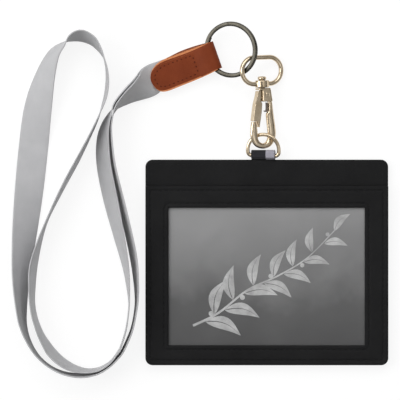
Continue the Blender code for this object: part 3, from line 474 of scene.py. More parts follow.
def rounded_ring(left, right, bottom, top, radii, side_steps, corner_steps):
    """Closed outline, always with as many points; radii run anticlockwise from the lower right."""
    corners = (
        (right, bottom, -1, 1, -90), (right, top, -1, -1, 0),
        (left, top, 1, -1, 90), (left, bottom, 1, 1, 180),
    )
    arcs = []
    for (x, y, sx, sy, start), r in zip(corners, radii):
        centre = (x + sx * r, y + sy * r)
        arcs.append(arc(centre, r, start, start + 90, corner_steps))
    points = []
    for index, run in enumerate(arcs):
        points += run
        end, begin = run[-1], arcs[(index + 1) % 4][0]
        steps = side_steps[index]
        for step in range(1, steps):
            t = step / steps
            points.append((end[0] + (begin[0] - end[0]) * t, end[1] + (begin[1] - end[1]) * t))
    return points


def ring_sheet(name, rings, material, closed=False):
    """Mesh through rings of (outline, height), a height or one for each point; closed makes a frame."""
    verts = []
    for outline, height in rings:
        heights = height if isinstance(height, list) else [height] * len(outline)
        verts += [(x, y, z) for (x, y), z in zip(outline, heights)]
    faces = band_faces(len(rings), len(rings[0][0]), closed=closed, capped=not closed)
    return new_object(name, mesh_from(name, verts, faces), material)


def stitches_along(path, pitch, share=0.72):
    """Start and end points of the stitches that fit a run of points."""
    lengths = [0.0]
    for a, b in zip(path, path[1:]):
        lengths.append(lengths[-1] + (Vector(b) - Vector(a)).length)
    total = lengths[-1]
    count = max(1, round(total / pitch))
    step = total / count
    found = []

    def at(distance):
        index = 0
        while index < len(lengths) - 2 and lengths[index + 1] < distance:
            index += 1
        t = (distance - lengths[index]) / max(lengths[index + 1] - lengths[index], 1e-12)
        return Vector(path[index]).lerp(Vector(path[index + 1]), t)

    for index in range(count):
        middle = (index + 0.5) * step
        found.append((at(middle - share * step / 2), at(middle + share * step / 2)))
    return found


def stitch_mesh(name, pairs, radius, sink, up, material):
    """Thread stitches: short arched capsules whose two ends dive into the sheet."""
    verts, faces = [], []
    sides, rows = 6, 7
    section = superellipse(sides)
    for start, end in pairs:
        faces += band_faces(rows, sides, start=len(verts), capped=True)
        run = (end - start).normalized()
        normal = (up - run * up.dot(run)).normalized()
        side = run.cross(normal)
        for row in range(rows):
            t = row / (rows - 1)
            lift = math.sin(math.pi * t) ** 0.5
            point = start + (end - start) * t - normal * sink * (1 - lift)
            thick = radius * (0.55 + 0.45 * lift)
            verts += [point + side * thick * c + normal * thick * s for c, s in section]
    return new_object(name, mesh_from(name, verts, faces), material)


# Holder

SIDE_STEPS = (44, 56, 44, 56)
CORNER_STEPS = 7


def holder_ring(inset, top=TOP, radii=(CORNER,) * 4):
    inner = [max(r - inset, 0.25 * MM) for r in radii]
    return rounded_ring(LEFT + inset, RIGHT - inset, BOTTOM + inset, top - inset, inner,
                        SIDE_STEPS, CORNER_STEPS)


def window_ring(outset):
    left, right, bottom, top = WINDOW
    return rounded_ring(left - outset, right + outset, bottom - outset, top + outset,
                        [WINDOW_CORNER + outset] * 4, SIDE_STEPS, CORNER_STEPS)


def blend_rings(first, second, share):
    return [(a[0] + (b[0] - a[0]) * share, a[1] + (b[1] - a[1]) * share)
            for a, b in zip(first, second)]


def open_mouth(outline, height):
    """Between the side hems the mouth has only the sheet, so that the card can pass."""
    reach = RIGHT - HEM - 0.2 * MM
    points, heights = [], []
    for x, y in outline:
        free = abs(x) < reach and y > MOUTH - 1.0 * MM and height < FRONT_SHEET
        points.append((x, MOUTH - 0.14 * MM if free and y < MOUTH - 0.2 * MM else y))
        heights.append(FRONT_SHEET if free else height)
    return points, heights


def pocket_front(leather):
    """Front of the pocket: turned hem outside, stitched grooves, soft pad between, cut window."""
    radii = (CORNER, 0.6 * MM, 0.6 * MM, CORNER)

    def outer(inset):
        return holder_ring(inset, top=MOUTH, radii=radii)

    low, high = FRONT_LOW, FRONT_HIGH
    step = [(0.35, low), (0.08, low + 0.12 * MM), (0.0, low + 0.45 * MM), (0.0, high - 0.55 * MM),
            (0.10, high - 0.22 * MM), (0.32, high - 0.05 * MM), (0.75, high),
            (1.6, high - 0.01 * MM), (2.0, high - 0.06 * MM), (2.25, high - 0.2 * MM),
            (2.55, high - 0.2 * MM), (2.8, high - 0.06 * MM), (3.3, high), (4.2, high)]
    rings = [(outer(inset * MM), z) for inset, z in step]
    last_outer, first_inner = outer(4.2 * MM), window_ring(3.8 * MM)
    for share in (0.25, 0.5, 0.75):
        rings.append((blend_rings(last_outer, first_inner, share), high))
    for outset, z in ((3.8, high), (2.8, high - 0.01 * MM), (2.4, high - 0.07 * MM),
                      (2.2, high - 0.2 * MM), (1.95, high - 0.2 * MM), (1.7, high - 0.07 * MM),
                      (1.2, high), (0.6, high - 0.02 * MM), (0.22, high - 0.1 * MM),
                      (0.05, high - 0.25 * MM), (0.0, high - 0.4 * MM), (0.0, FRONT_SHEET + 0.12 * MM),
                      (0.06, FRONT_SHEET)):
        rings.append((window_ring(outset * MM), z))
    rings.append((holder_ring(HEM, top=MOUTH + HEM - 0.2 * MM, radii=radii), FRONT_SHEET))
    rings.append((holder_ring(HEM + 0.02 * MM, top=MOUTH + HEM - 0.15 * MM, radii=radii), low))
    piece = ring_sheet("pocket_front", [open_mouth(*ring) for ring in rings], leather, closed=True)
    sharpen(piece, 50)
    return piece


def flat_cover(name, low, high, leather, groove=0.0):
    """Closed sheet with soft edges and, where groove is given, a stitched groove on both faces."""
    profile = [(3.4, low), (2.75, low), (2.5, low + groove), (2.3, low + groove), (2.0, low),
               (0.4, low), (0.1, low + 0.1 * MM), (0.0, low + 0.22 * MM), (0.0, high - 0.22 * MM),
               (0.1, high - 0.08 * MM), (0.4, high), (2.0, high), (2.3, high - groove),
               (2.5, high - groove), (2.75, high), (3.4, high)]
    rings = [(holder_ring(inset * MM), z) for inset, z in profile]
    piece = ring_sheet(name, rings, leather)
    sharpen(piece, 50)
    return piece


def holder_stitches(thread):
    """Threads of the pocket and its window, of the band above the mouth, and of the back."""
    up = Vector((0, 0, 1))
    bend = 2.4 * MM
    left, right = LEFT + STITCH_INSET, RIGHT - STITCH_INSET
    crest = TOP - STITCH_INSET
    low_bend, high_bend = BOTTOM + STITCH_INSET + bend, crest - bend

    def row_along(points, z):
        return stitches_along([(x, y, z) for x, y in points], STITCH_PITCH)

    def u_row(end):
        return ([(left, end), (left, low_bend)] + arc((left + bend, low_bend), bend, 180, 270, 6)
                + arc((right - bend, low_bend), bend, 270, 360, 6) + [(right, end)])

    height = FRONT_HIGH - 0.1 * MM
    mouth = MOUTH - 2.3 * MM
    pairs = row_along(u_row(MOUTH - 1.0 * MM), height)
    pairs += row_along([(left + 2 * MM, mouth), (right - 2 * MM, mouth)], height)
    low_x, high_x = WINDOW[0] - WINDOW_STITCH, WINDOW[1] + WINDOW_STITCH
    low_y, high_y = WINDOW[2] - WINDOW_STITCH, WINDOW[3] + WINDOW_STITCH
    corners = [(low_x, low_y), (high_x, low_y), (high_x, high_y), (low_x, high_y), (low_x, low_y)]
    for a, b in zip(corners, corners[1:]):
        pairs += row_along([a, b], height)
    front = stitch_mesh("pocket_stitches", pairs, 0.2 * MM, 0.3 * MM, up, thread)

    start = MOUTH + 1.0 * MM
    path = [(left, start), (left, high_bend)] + arc((left + bend, high_bend), bend, 180, 90, 6)
    path += arc((right - bend, high_bend), bend, 90, 0, 6) + [(right, start)]
    band = stitch_mesh("band_stitches", row_along(path, LINER_HIGH - 0.02 * MM), 0.17 * MM, 0.25 * MM,
                       up, thread)

    path = u_row(high_bend) + arc((right - bend, high_bend), bend, 0, 90, 6)
    path += arc((left + bend, high_bend), bend, 90, 180, 6)
    back = stitch_mesh("back_stitches", row_along(path, 0.18 * MM), 0.16 * MM, 0.2 * MM, -up, thread)
    return front, band, back


# Card ornament: a plain leafy sprig, on the card under the film

PRINT_HEIGHT, PRINT_STEP = 3.37 * MM, 0.03 * MM


def leaf(verts, faces, base, direction, length, width, z):
    """Two halves of a leaf, a little apart along its rib."""
    side = Vector((-direction.y, direction.x))
    steps = 12
    for sign in (-1, 1):
        start = len(verts)
        for index in range(steps + 1):
            t = index / steps
            spread = 0.5 * width * math.sin(math.pi * t ** 0.8)
            rib = 0.045 * width * (1 - t)
            curve = side * (0.14 * length * math.sin(math.pi * t))
            centre = base + direction * length * t + curve
            for offset in (min(rib, spread), spread):
                place = centre + side * sign * offset
                verts.append((place.x, place.y, z))
        for index in range(steps):
            first = start + 2 * index
            faces.append((first, first + 1, first + 3, first + 2))


def card_sprig(ink):
    """Plain leafy sprig across the card, with a few berries."""
    verts, faces = [], []
    z = PRINT_HEIGHT
    stem = smooth_curve([(-35.0, -30.0), (-23.0, -24.0), (-9.0, -13.0), (5.0, -6.5), (19.0, 2.0),
                         (32.0, 15.0)], 6)
    points = [Vector(p) * MM for p in stem]
    for index, point in enumerate(points):
        before, after = neighbours(points, index)
        run = (after - before).normalized()
        side = Vector((-run.y, run.x))
        half = (0.6 - 0.4 * index / len(points)) * MM
        for offset in (-half, half):
            place = point + side * offset
            verts.append((place.x, place.y, z))
        if index:
            faces.append((2 * index - 2, 2 * index - 1, 2 * index + 1, 2 * index))
    for index in range(3, len(points) - 2, 2):
        run = (points[index + 1] - points[index - 1]).normalized()
        share = index / len(points)
        sign = 1 if index % 4 == 1 else -1
        length = (19.0 - 9.0 * share) * MM
        angle = math.radians((46 + 6 * math.sin(index)) * sign)
        way = Vector((run.x * math.cos(angle) - run.y * math.sin(angle),
                      run.x * math.sin(angle) + run.y * math.cos(angle)))
        layer = z + (1 + index // 2 % 3) * PRINT_STEP
        leaf(verts, faces, points[index] + way * 0.8 * MM, way, length, 0.34 * length, layer)
        if index % 6 == 3:
            berry = points[index] + Vector((way.y, -way.x)) * sign * 4.5 * MM + way * 2.0 * MM
            start = len(verts)
            radius = (1.3 - 0.4 * share) * MM
            verts += [(berry.x + radius * c, berry.y + radius * s, z + 4 * PRINT_STEP)
                      for c, s in superellipse(18)]
            faces.append(tuple(range(start, len(verts))))
    run = (points[-1] - points[-3]).normalized()
    leaf(verts, faces, points[-1], run, 11 * MM, 4 * MM, z + 4 * PRINT_STEP)
    piece = new_object("card_sprig", mesh_from("card_sprig", verts, faces, smooth=False), ink)
    solid = piece.modifiers.new("thickness", "SOLIDIFY")
    solid.thickness = PRINT_STEP
    solid.offset = 1.0
    apply_modifiers(piece)
    return piece


# Webbing loop that carries the D-ring

def webbing_loop(webbing):
    """Folded webbing: two sewn layers inside the hem, a loop round the D-ring's bar."""
    middle = D_BAR.z
    outer, thick, half = 1.65 * MM, 0.5 * MM, 5.65 * MM
    radius = outer - thick / 2
    hem = 48.5 * MM
    bend = hem + 4.9 * MM - outer
    root = hem + 0.45 * MM
    crest = root + 1.3 * MM
    low, high = 1.3 * MM, 1.8 * MM
    profile = [(hem - 8.7 * MM, low), (hem - 2 * MM, low), (root, low + 0.02 * MM),
               (root + 0.6 * MM, low + 0.08 * MM), (crest, middle - radius)]
    profile += arc((bend, middle), radius, -90, 90, 16)
    profile += [(crest, middle + radius), (root + 0.6 * MM, middle + radius - 0.35 * MM),
                (root + 0.05 * MM, high + 0.15 * MM), (hem - 2 * MM, high), (hem - 8.7 * MM, high)]
    spots = smooth_curve(profile, 3)
    columns = 16
    verts, uvs = [], []
    along = 0.0
    for index, (y, z) in enumerate(spots):
        if index:
            along += math.dist(spots[index - 1], (y, z))
        blend = min(max((y - hem - 0.3 * MM) / (0.9 * MM), 0.0), 1.0)
        angle = D_ROLL * blend * blend * (3 - 2 * blend)
        lift = z - middle
        for column in range(columns + 1):
            x = half * (2 * column / columns - 1)
            verts.append((TAB_X + x * math.cos(angle) - lift * math.sin(angle), y,
                          middle + lift * math.cos(angle) + x * math.sin(angle)))
            uvs.append((x, along))
    return thick_sheet("webbing_loop", verts, columns, 0.46 * MM, 0.12 * MM, (50, 40), webbing, uvs)


# Metal rings

def d_ring(gold):
    """Wire bent to a D: a straight bar, two corners and an arch."""
    wire, width, height, corner = 1.82 * MM, 16.75 * MM, 11.95 * MM, 1.85 * MM
    side = (width - wire) / 2
    rise = height - wire
    flat = side - corner
    path = arc((flat, corner), corner, -90, 0, 8)
    path += arc((0, rise - side), side, 0, 180, 48)
    path += arc((-flat, corner), corner, 180, 270, 8)
    for step in range(1, 10):
        path.append((-flat + 2 * flat * step / 10, 0.0))
    turn = Euler((D_PITCH, -D_ROLL, 0), "YXZ").to_matrix()
    points = [D_BAR + turn @ Vector((x, y, 0)) for x, y in path]
    radius = wire / 2
    return tube("d_ring_wire", points, radius, radius, turn @ Vector((0, 0, 1)), 20, gold, cyclic=True)


def hook_place(piece, angle):
    """Take a piece from the hook's own frame to its place, and sharpen its edges."""
    piece.data.transform(Matrix.Translation(HOOK_PLACE) @ Euler(HOOK_TURN, "YXZ").to_matrix().to_4x4())
    sharpen(piece, angle)
    return piece


def swivel_eye(gold):
    """Oval eye with its collar; voxel remeshing melts the two into one casting."""
    wire, width, height = 2.25 * MM, 23.3 * MM, 14.8 * MM
    half_height = (height - wire) / 2
    straight = (width - wire) / 2 - half_height
    path = arc((straight, half_height), half_height, -90, 90, 40)
    path += arc((-straight, half_height), half_height, 90, 270, 40)
    points = [Vector((x, y, 0)) for x, y in path]
    ring = tube("swivel_eye_visual", points, wire / 2, wire / 2, Vector((0, 0, 1)), 20, gold, cyclic=True)
    lower_half = [(3.3, 0.0), (3.3, -1.05), (3.35, -1.35), (3.2, -1.65), (2.9, -1.75), (0, -1.75)]
    upper_half = [(radius, -level) for radius, level in lower_half[:0:-1]]
    join_shapes(ring, turned("eye_collar_visual", upper_half + lower_half, 48))
    melt(ring, 0.13 * MM, 3)
    cut_away(ring, turned("eye_bore_visual", bore_profile(EYE_BORE), 40))
    return hook_place(ring, 45)


def turned(name, profile, steps):
    """Solid of revolution about Y from radius and height pairs in millimetres."""
    section = superellipse(steps)
    verts = [(radius * MM * c, height * MM, radius * MM * s) for radius, height in profile
             for c, s in section]
    mesh = mesh_from(name, verts, band_faces(len(profile), steps))
    work = bmesh.new()
    work.from_mesh(mesh)
    bmesh.ops.remove_doubles(work, verts=work.verts, dist=1e-7)
    bmesh.ops.recalc_face_normals(work, faces=work.faces)
    work.to_mesh(mesh)
    work.free()
    return new_object(name, mesh)


def bore_profile(radius):
    """Profile for turned() of a cutter that goes right through."""
    return [(0, 4), (radius, 4), (radius, -4), (0, -4)]


def rivet_bore(name):
    """Cutter on the gate's rivet, across the hook."""
    bore = turned(name, bore_profile(RIVET_BORE), 28)
    bore.data.transform(RIVET_FRAME)
    return bore


def cut_away(piece, *cutters):
    for cutter in cutters:
        cut = piece.modifiers.new("cut", "BOOLEAN")
        cut.operation = "DIFFERENCE"
        cut.object = cutter
    apply_modifiers(piece)
    for cutter in cutters:
        bpy.data.objects.remove(cutter)


def join_shapes(target, *others):
    work = bmesh.new()
    work.from_mesh(target.data)
    for other in others:
        work.from_mesh(other.data)
        bpy.data.objects.remove(other)
    work.to_mesh(target.data)
    work.free()


def melt(piece, voxel, rounds):
    """One skin over overlapping shells, then a light smoothing that rounds every edge."""
    remesh = piece.modifiers.new("one_skin", "REMESH")
    remesh.mode = "VOXEL"
    remesh.voxel_size = voxel
    smooth = piece.modifiers.new("rounding", "SMOOTH")
    smooth.factor = 0.5
    smooth.iterations = rounds
    apply_modifiers(piece)
    piece.data.shade_smooth()


def bar_shell(name, pairs, half_thickness, material, power, steps=5):
    """Bar through inner and outer edge points with a softened rectangular section."""
    flat = [(*inner, *outer) for inner, outer in pairs]
    spots = smooth_curve(flat, steps) if steps > 1 else flat
    section = superellipse(24, power)
    verts = []
    for u0, v0, u1, v1 in spots:
        first = Vector((u0 * HOOK_STRETCH * MM, v0 * MM, 0))
        second = Vector((u1 * HOOK_STRETCH * MM, v1 * MM, 0))
        middle, across = (first + second) / 2, (second - first) / 2
        verts += [middle + across * c + Vector((0, 0, half_thickness * s)) for c, s in section]
    faces = band_faces(len(spots), len(section), capped=True)
    return new_object(name, mesh_from(name, verts, faces), material)


def cutter_box(name, low, high):
    verts = [(x * MM, y * MM, z * MM) for x in (low[0], high[0]) for y in (low[1], high[1])
             for z in (low[2], high[2])]
    faces = [(0, 1, 3, 2), (4, 6, 7, 5), (0, 4, 5, 1), (2, 3, 7, 6), (0, 2, 6, 4), (1, 5, 7, 3)]
    return new_object(name, mesh_from(name, verts, faces, smooth=False))


def hook_casting(gold):
    """Bar, cheeks and shank as one smooth casting with the gate's slot cut through it."""
    pairs = (
        ((1.9, -6.0), (4.2, -6.0)), ((2.6, -9.0), (4.8, -9.0)), ((2.6, -12.6), (5.2, -12.6)),
        ((1.65, -14.4), (5.45, -14.4)), ((1.75, -17.0), (5.8, -17.0)), ((2.1, -21.6), (6.3, -21.6)),
        ((2.25, -24.4), (6.4, -24.1)), ((1.9, -26.2), (5.5, -27.4)), ((1.1, -27.5), (3.2, -29.9)),
        ((-0.35, -28.1), (-0.15, -30.75)), ((-1.8, -27.55), (-3.5, -29.9)),
        ((-2.75, -26.3), (-5.75, -27.6)), ((-3.1, -24.4), (-6.65, -24.2)),
        ((-3.1, -22.0), (-6.5, -21.2)), ((-3.45, -20.0), (-6.2, -19.3)), ((-3.9, -17.85), (-5.9, -17.85)),
    )
    hook = bar_shell("hook_casting", pairs, 1.3 * MM, gold, power=2.2)
    head_pairs = (
        ((-2.5, -2.0), (3.4, -2.0)), ((-2.6, -2.3), (3.55, -2.3)), ((-2.6, -2.9), (3.65, -2.9)),
        ((-0.7, -2.95), (3.66, -2.95)), ((-0.7, -7.9), (4.4, -7.9)), ((-0.55, -8.4), (4.3, -8.4)),
    )
    head = bar_shell("hook_head_visual", head_pairs, 2.2 * MM, None, steps=1, power=8.0)
    shank = turned("hook_shank_visual", [
        (0, 3.6), (1.15, 3.6), (1.7, 3.45), (2.05, 3.05), (2.05, 2.3), (1.85, 2.02), (1.3, 2.0),
        (1.3, -2.6), (0, -2.6)], 40)
    join_shapes(hook, head, shank)
    melt(hook, 0.13 * MM, 3)
    slot = cutter_box("slot_visual", (-3.4, -9.2, -1.22), (3.45, -3.1, 1.22))
    cut_away(hook, slot, rivet_bore("bore_visual"))
    return hook_place(hook, 40)


def gate_casting(gold):
    """Gate lever with a stepped end that laps the tip of the bar, and the boss for its rivet."""
    outline = [(-2.75, -3.3), (-3.35, -6.0), (-4.33, -9.1), (-5.05, -13.0), (-5.6, -16.6),
               (-5.65, -17.55), (-3.6, -17.6), (-3.15, -19.2), (-2.75, -20.5), (-2.45, -20.3),
               (-2.2, -18.4), (-1.8, -16.6), (-1.2, -13.0), (-0.85, -9.2), (-1.55, -8.2), (-1.2, -3.3)]
    verts = [(u * HOOK_STRETCH * MM, v * MM, z * MM) for z in (-1.6, 1.6) for u, v in outline]
    faces = band_faces(2, len(outline), capped=True)
    gate = new_object("gate_casting", mesh_from("gate_casting", verts, faces), gold)
    boss = turned("gate_boss_visual", [(0, 0.95), (1.5, 0.95), (1.5, -0.95), (0, -0.95)], 40)
    boss.data.transform(RIVET_FRAME)
    web = cutter_box("gate_web_visual", (-1.7, -6.68, -0.95), (1.63, -3.68, 0.95))
    join_shapes(gate, boss, web)
    melt(gate, 0.11 * MM, 11)
    cut_away(gate, rivet_bore("gate_bore_visual"))
    return hook_place(gate, 40)


def key_ring(bronze):
    """Split ring wire with softened edges; both ends are cut square."""
    outer, radial, height, gap = 26.6 * MM, 2.1 * MM, 0.78 * MM, 0.27 * MM
    radius = (outer - radial) / 2
    half_pitch = (height + gap) / 2
    step_half = math.radians(28.0)
    first, last = step_half, 4 * math.pi - step_half
    turn = Euler(RING_TURN, "XYZ").to_matrix()
    count = 260
    points = []
    for step in range(count + 1):
        angle = first + (last - first) * step / count
        climb = min(max((angle - 2 * math.pi) / (2 * step_half) + 0.5, 0.0), 1.0)
        z = half_pitch * (2 * climb * climb * (3 - 2 * climb) - 1)
        azimuth = math.radians(105.0) + angle
        points.append(RING_PLACE + turn @ Vector((radius * math.cos(azimuth),
                                                  radius * math.sin(azimuth), z)))
    return tube("key_ring_wire", points, radial / 2, height / 2, turn @ Vector((0, 0, 1)), 16,
                bronze, power=3.0)


# Leather tab

FRONT_LEAF = ((2.0, 6.6), (-1.0, 6.5), (-4.5, 5.9), (-13.0, 5.4), (-22.0, 5.3), (-26.6, 4.7),
              (-30.0, 2.9), (-31.8, 0.4), (-32.2, -2.2), (-31.4, -5.2), (-29.6, -7.4), (-26.3, -8.2),
              (-20.0, -8.0), (-13.0, -7.7), (-5.0, -7.2), (2.0, -6.6))
BACK_LEAF = ((2.0, 6.6), (-5.0, 7.3), (-13.0, 7.4), (-18.0, 6.9), (-25.0, 5.8), (-29.0, 3.8),
             (-31.3, 1.0), (-31.8, -1.8), (-31.0, -4.6), (-28.6, -6.6), (-24.0, -7.3),
             (-13.0, -7.2), (-5.0, -7.0), (2.0, -6.6))


def leaf_limits(outline):
    """Functions for the upper and lower edge of a leaf at a place along it, and its tip."""
    spots = smooth_curve(outline, 10)
    tip = min(range(len(spots)), key=lambda index: spots[index][0])
    upper, lower = sorted(spots[:tip + 1]), sorted(spots[tip:])
    return (lambda x: read_curve(upper, x)[0]), (lambda x: read_curve(lower, x)[0]), spots[tip][0]


def tab_world(along, side, height):
    c, s = math.cos(TAB_ANGLE), math.sin(TAB_ANGLE)
    return Vector((TAB_PLACE.x + (along * c - side * s) * MM,
                   TAB_PLACE.y + (along * s + side * c) * MM, height * MM))


LEATHER_LOW, LEATHER_CREST, LEAF_HEIGHT = 0.7, 5.7, 3.85
LEATHER_FOLD = 1.25 - (LEATHER_CREST - LEATHER_LOW) / 2
FRONT_LINE = sorted(smooth_curve([
    (LEATHER_FOLD, LEATHER_CREST), (-4.2, LEATHER_CREST - 0.05),
    (-6.6, (2 * LEATHER_CREST + LEAF_HEIGHT) / 3 - 0.1), (-8.6, LEAF_HEIGHT + 0.12),
    (-11.0, LEAF_HEIGHT), (-20.0, LEAF_HEIGHT), (-32.5, LEAF_HEIGHT)], 12))


def front_height(x):
    """Height of the front leaf's middle at a place along the tab, in millimetres."""
    return read_curve(FRONT_LINE, x)[0]


# Width of a cut edge inside and outside its leaf's outline, by the distance from the ring
FRONT_EDGE = ((0.0, 0.25, 0.1), (3.0, 0.45, 0.4), (8.0, 0.7, 0.85), (14.0, 0.75, 1.0),
              (21.0, 0.75, 1.0), (26.0, 0.7, 0.75), (29.5, 0.5, 0.4), (31.9, 0.3, 0.0))
LOWER_EDGE = ((0.5, 0.15, 0.1), (6.0, 0.25, 0.4), (20.0, 0.3, 0.45), (27.0, 0.3, 0.4), (31.9, 0.25, 0.0))
BACK_EDGE = ((2.0, 0.2, 0.0), (8.0, 0.6, 0.05), (20.0, 0.6, 0.05), (26.0, 0.5, 0.05), (31.0, 0.2, 0.0))


def leather_band(name, outline, widths, height, fall, edge, sign=1):
    """Cut edge of a leaf: a strip along its upper side in the picture, or the lower for sign -1."""
    upper, lower, _ = leaf_limits(outline)
    limit = upper if sign > 0 else lower
    shape = smooth_curve(widths, 12)
    start, end = widths[0][0], widths[-1][0]
    rows = 70
    verts = []
    for index in range(rows + 1):
        x = -start - (end - start) * math.sin(math.pi / 2 * index / rows)
        inward, outward = read_curve(shape, -x)
        inner, outer = limit(x) - sign * inward, limit(x) + sign * outward
        top = height(x) + 0.5
        corners = [tab_world(x, inner, top), tab_world(x, outer, top - fall),
                   tab_world(x, outer, top - fall - 0.4), tab_world(x, inner, top - 0.6)]
        verts += corners[::sign]
    band = new_object(name, mesh_from(name, verts, band_faces(rows + 1, 4, capped=True)), edge)
    sharpen(band, 30)
    return band


def leather_tab(leather, edge):
    """Folded strip as one bent sheet whose two leaves have their own rounded ends."""
    front_top, front_low, front_tip = leaf_limits(FRONT_LEAF)
    back_top, back_low, back_tip = leaf_limits(BACK_LEAF)
    low, crest, fold = LEATHER_LOW, LEATHER_CREST, LEATHER_FOLD
    margin, half_width = 0.02, 6.6
    line = []
    for index in range(35):
        x = back_tip + margin + (fold - back_tip) * (1 - math.cos(math.pi * index / 68))
        line.append((x, low, back_low(x), back_top(x)))
    bend = arc((fold, (low + crest) / 2), (crest - low) / 2, -90, 90, 18)[1:-1]
    line += [(x, z, -half_width, half_width) for x, z in bend]
    for index in range(61):
        x = fold + (front_tip + margin - fold) * math.sin(math.pi * index / 120)
        line.append((x, front_height(x), front_low(x), front_top(x)))
    columns = 18
    verts = [tab_world(x, bottom + (top - bottom) * column / columns, z)
             for x, z, bottom, top in line for column in range(columns + 1)]
    return thick_sheet("leather_fold", verts, columns, 0.98 * MM, 0.16 * MM, (55, 60), leather, rim=edge)


def leather_stitches(thread):
    """Stitch line inside the front leaf's edge, closed by a row across the tab near the ring."""
    spots = smooth_curve(FRONT_LEAF, 6)
    centre = Vector((-20.0, -1.3))
    inset = []
    for index, spot in enumerate(spots):
        before, after = neighbours(spots, index)
        run = (Vector(after) - Vector(before)).normalized()
        normal = Vector((-run.y, run.x))
        if normal.dot(centre - Vector(spot)) < 0:
            normal = -normal
        place = Vector(spot) + normal * 2.0
        if place.x < -9.6:
            inset.append(place)
    path = [tab_world(p.x, p.y, 4.36) for p in inset]
    pairs = stitches_along(path, 2.2 * MM, 0.5)
    pairs += stitches_along([tab_world(-9.8, 3.2, 4.42), tab_world(-9.8, -5.3, 4.42)], 2.0 * MM, 0.5)
    front = stitch_mesh("leather_stitches", pairs, 0.24 * MM, 0.32 * MM, Vector((0, 0, 1)), thread)
    back = [(Vector((a.x, a.y, 0.22 * MM)), Vector((b.x, b.y, 0.22 * MM))) for a, b in pairs]
    under = stitch_mesh("leather_stitches_under", back, 0.16 * MM, 0.2 * MM, Vector((0, 0, -1)), thread)
    return front, under


# Ribbon

RIBBON_WIDTH, RIBBON_THICKNESS = 14.0, 0.6
LOWER_RIBBON, RIBBON_STEP, TABLE_GAP = 1.8, 0.95, 0.05
RIBBON_SIDE, RIBBON_TAIL = -0.7, 22.5
CAD_EDGE = -57.25
TAB_LENGTH = 32.6
CURVE_STEPS = 12
ROW_SPACING = 1.3

# Stations along the ribbon, chosen again here and finer than on the CAD source's route. First the
# stretch that both ends share: x from the CAD model's left edge and y from the tab in millimetres,
# roll in degrees, and how far the upper end lies off the lower one
FIRST_RUN = (
    (1.05, -12.45, -21, 1.75), (-0.95, -13.85, -36.5, 1.8), (-3.7, -15.55, -50.5, 1.65),
    (-6.5, -17.25, -60.5, 1.5), (-8.95, -18.9, -68, 1.35), (-11.05, -20.45, -74, 1.3),
    (-13.1, -22.1, -80, 1.25), (-15.0, -24.05, -86.5, 1.2),
)

# The two loops, with the same first three values
LOOP_RUN = (
    (-17.4, -28.45, -98.5), (-19.5, -34.05, -108), (-20.5, -41.2, -115.5),
    (-19.95, -52.3, -119), (-16.8, -68.25, -119), (-12.85, -85.15, -112),
    (-9.35, -101.7, -101.5), (-8.05, -116.15, -92.5), (-8.45, -123.05, -91.5),
    (-9.55, -130.15, -92), (-11.65, -137.25, -92), (-12.75, -139.65, -92),
    (-16.05, -144.4, -92), (-19.0, -146.85, -93), (-22.8, -148.75, -94),
    (-27.55, -149.4, -95), (-31.85, -148.85, -98), (-36.35, -147.3, -102),
    (-40.85, -144.45, -104), (-44.65, -140.75, -105), (-47.05, -137.25, -102.5),
    (-49.75, -132.5, -99), (-51.6, -127.8, -97), (-53.0, -123.05, -96.5),
    (-53.9, -117.35, -97), (-54.0, -111.2, -99), (-53.35, -100.1, -102),
    (-50.25, -87.6, -95.5), (-46.8, -78.0, -91), (-42.35, -68.5, -93),
    (-37.5, -59.0, -94.8), (-32.35, -49.55, -94.8), (-27.5, -40.05, -92),
    (-24.1, -32.95, -90.5), (-22.1, -28.2, -88.5), (-20.4, -23.45, -85),
    (-19.05, -18.75, -83), (-18.3, -12.55, -83.5), (-18.65, -6.6, -86),
    (-19.8, -1.65, -88.5), (-21.3, 1.75, -84.5), (-24.1, 5.75, -76.5),
    (-26.85, 7.9, -72), (-30.9, 9.3, -70), (-35.35, 8.2, -80),
    (-39.3, 5.15, -101), (-44.15, -0.2, -117), (-48.35, -11.65, -137),
    (-51.45, -25.75, -162), (-53.45, -42.2, -180), (-55.65, -64.55, -199),
    (-57.8, -86.15, -219), (-59.3, -106.1, -238.5), (-58.85, -123.1, -254.5),
    (-57.6, -130.15, -261), (-55.85, -134.9, -264.5), (-53.3, -139.65, -267),
    (-50.05, -143.7, -268.5), (-45.6, -147.35, -269), (-40.85, -149.8, -268),
    (-36.1, -151.15, -266.5), (-31.35, -151.55, -264.5), (-26.6, -151.2, -265),
    (-21.85, -149.9, -266.5), (-17.15, -146.85, -266.5), (-13.25, -142.95, -266),
    (-10.95, -139.75, -265), (-7.65, -132.5, -265), (-6.15, -127.8, -265.3),
    (-5.15, -122.55, -265.2), (-4.4, -115.95, -263.5), (-4.7, -106.45, -259.8),
    (-6.2, -94.1, -256), (-11.0, -72.15, -257), (-15.4, -52.1, -261.5),
    (-17.0, -36.1, -263), (-15.95, -29.15, -267),
)


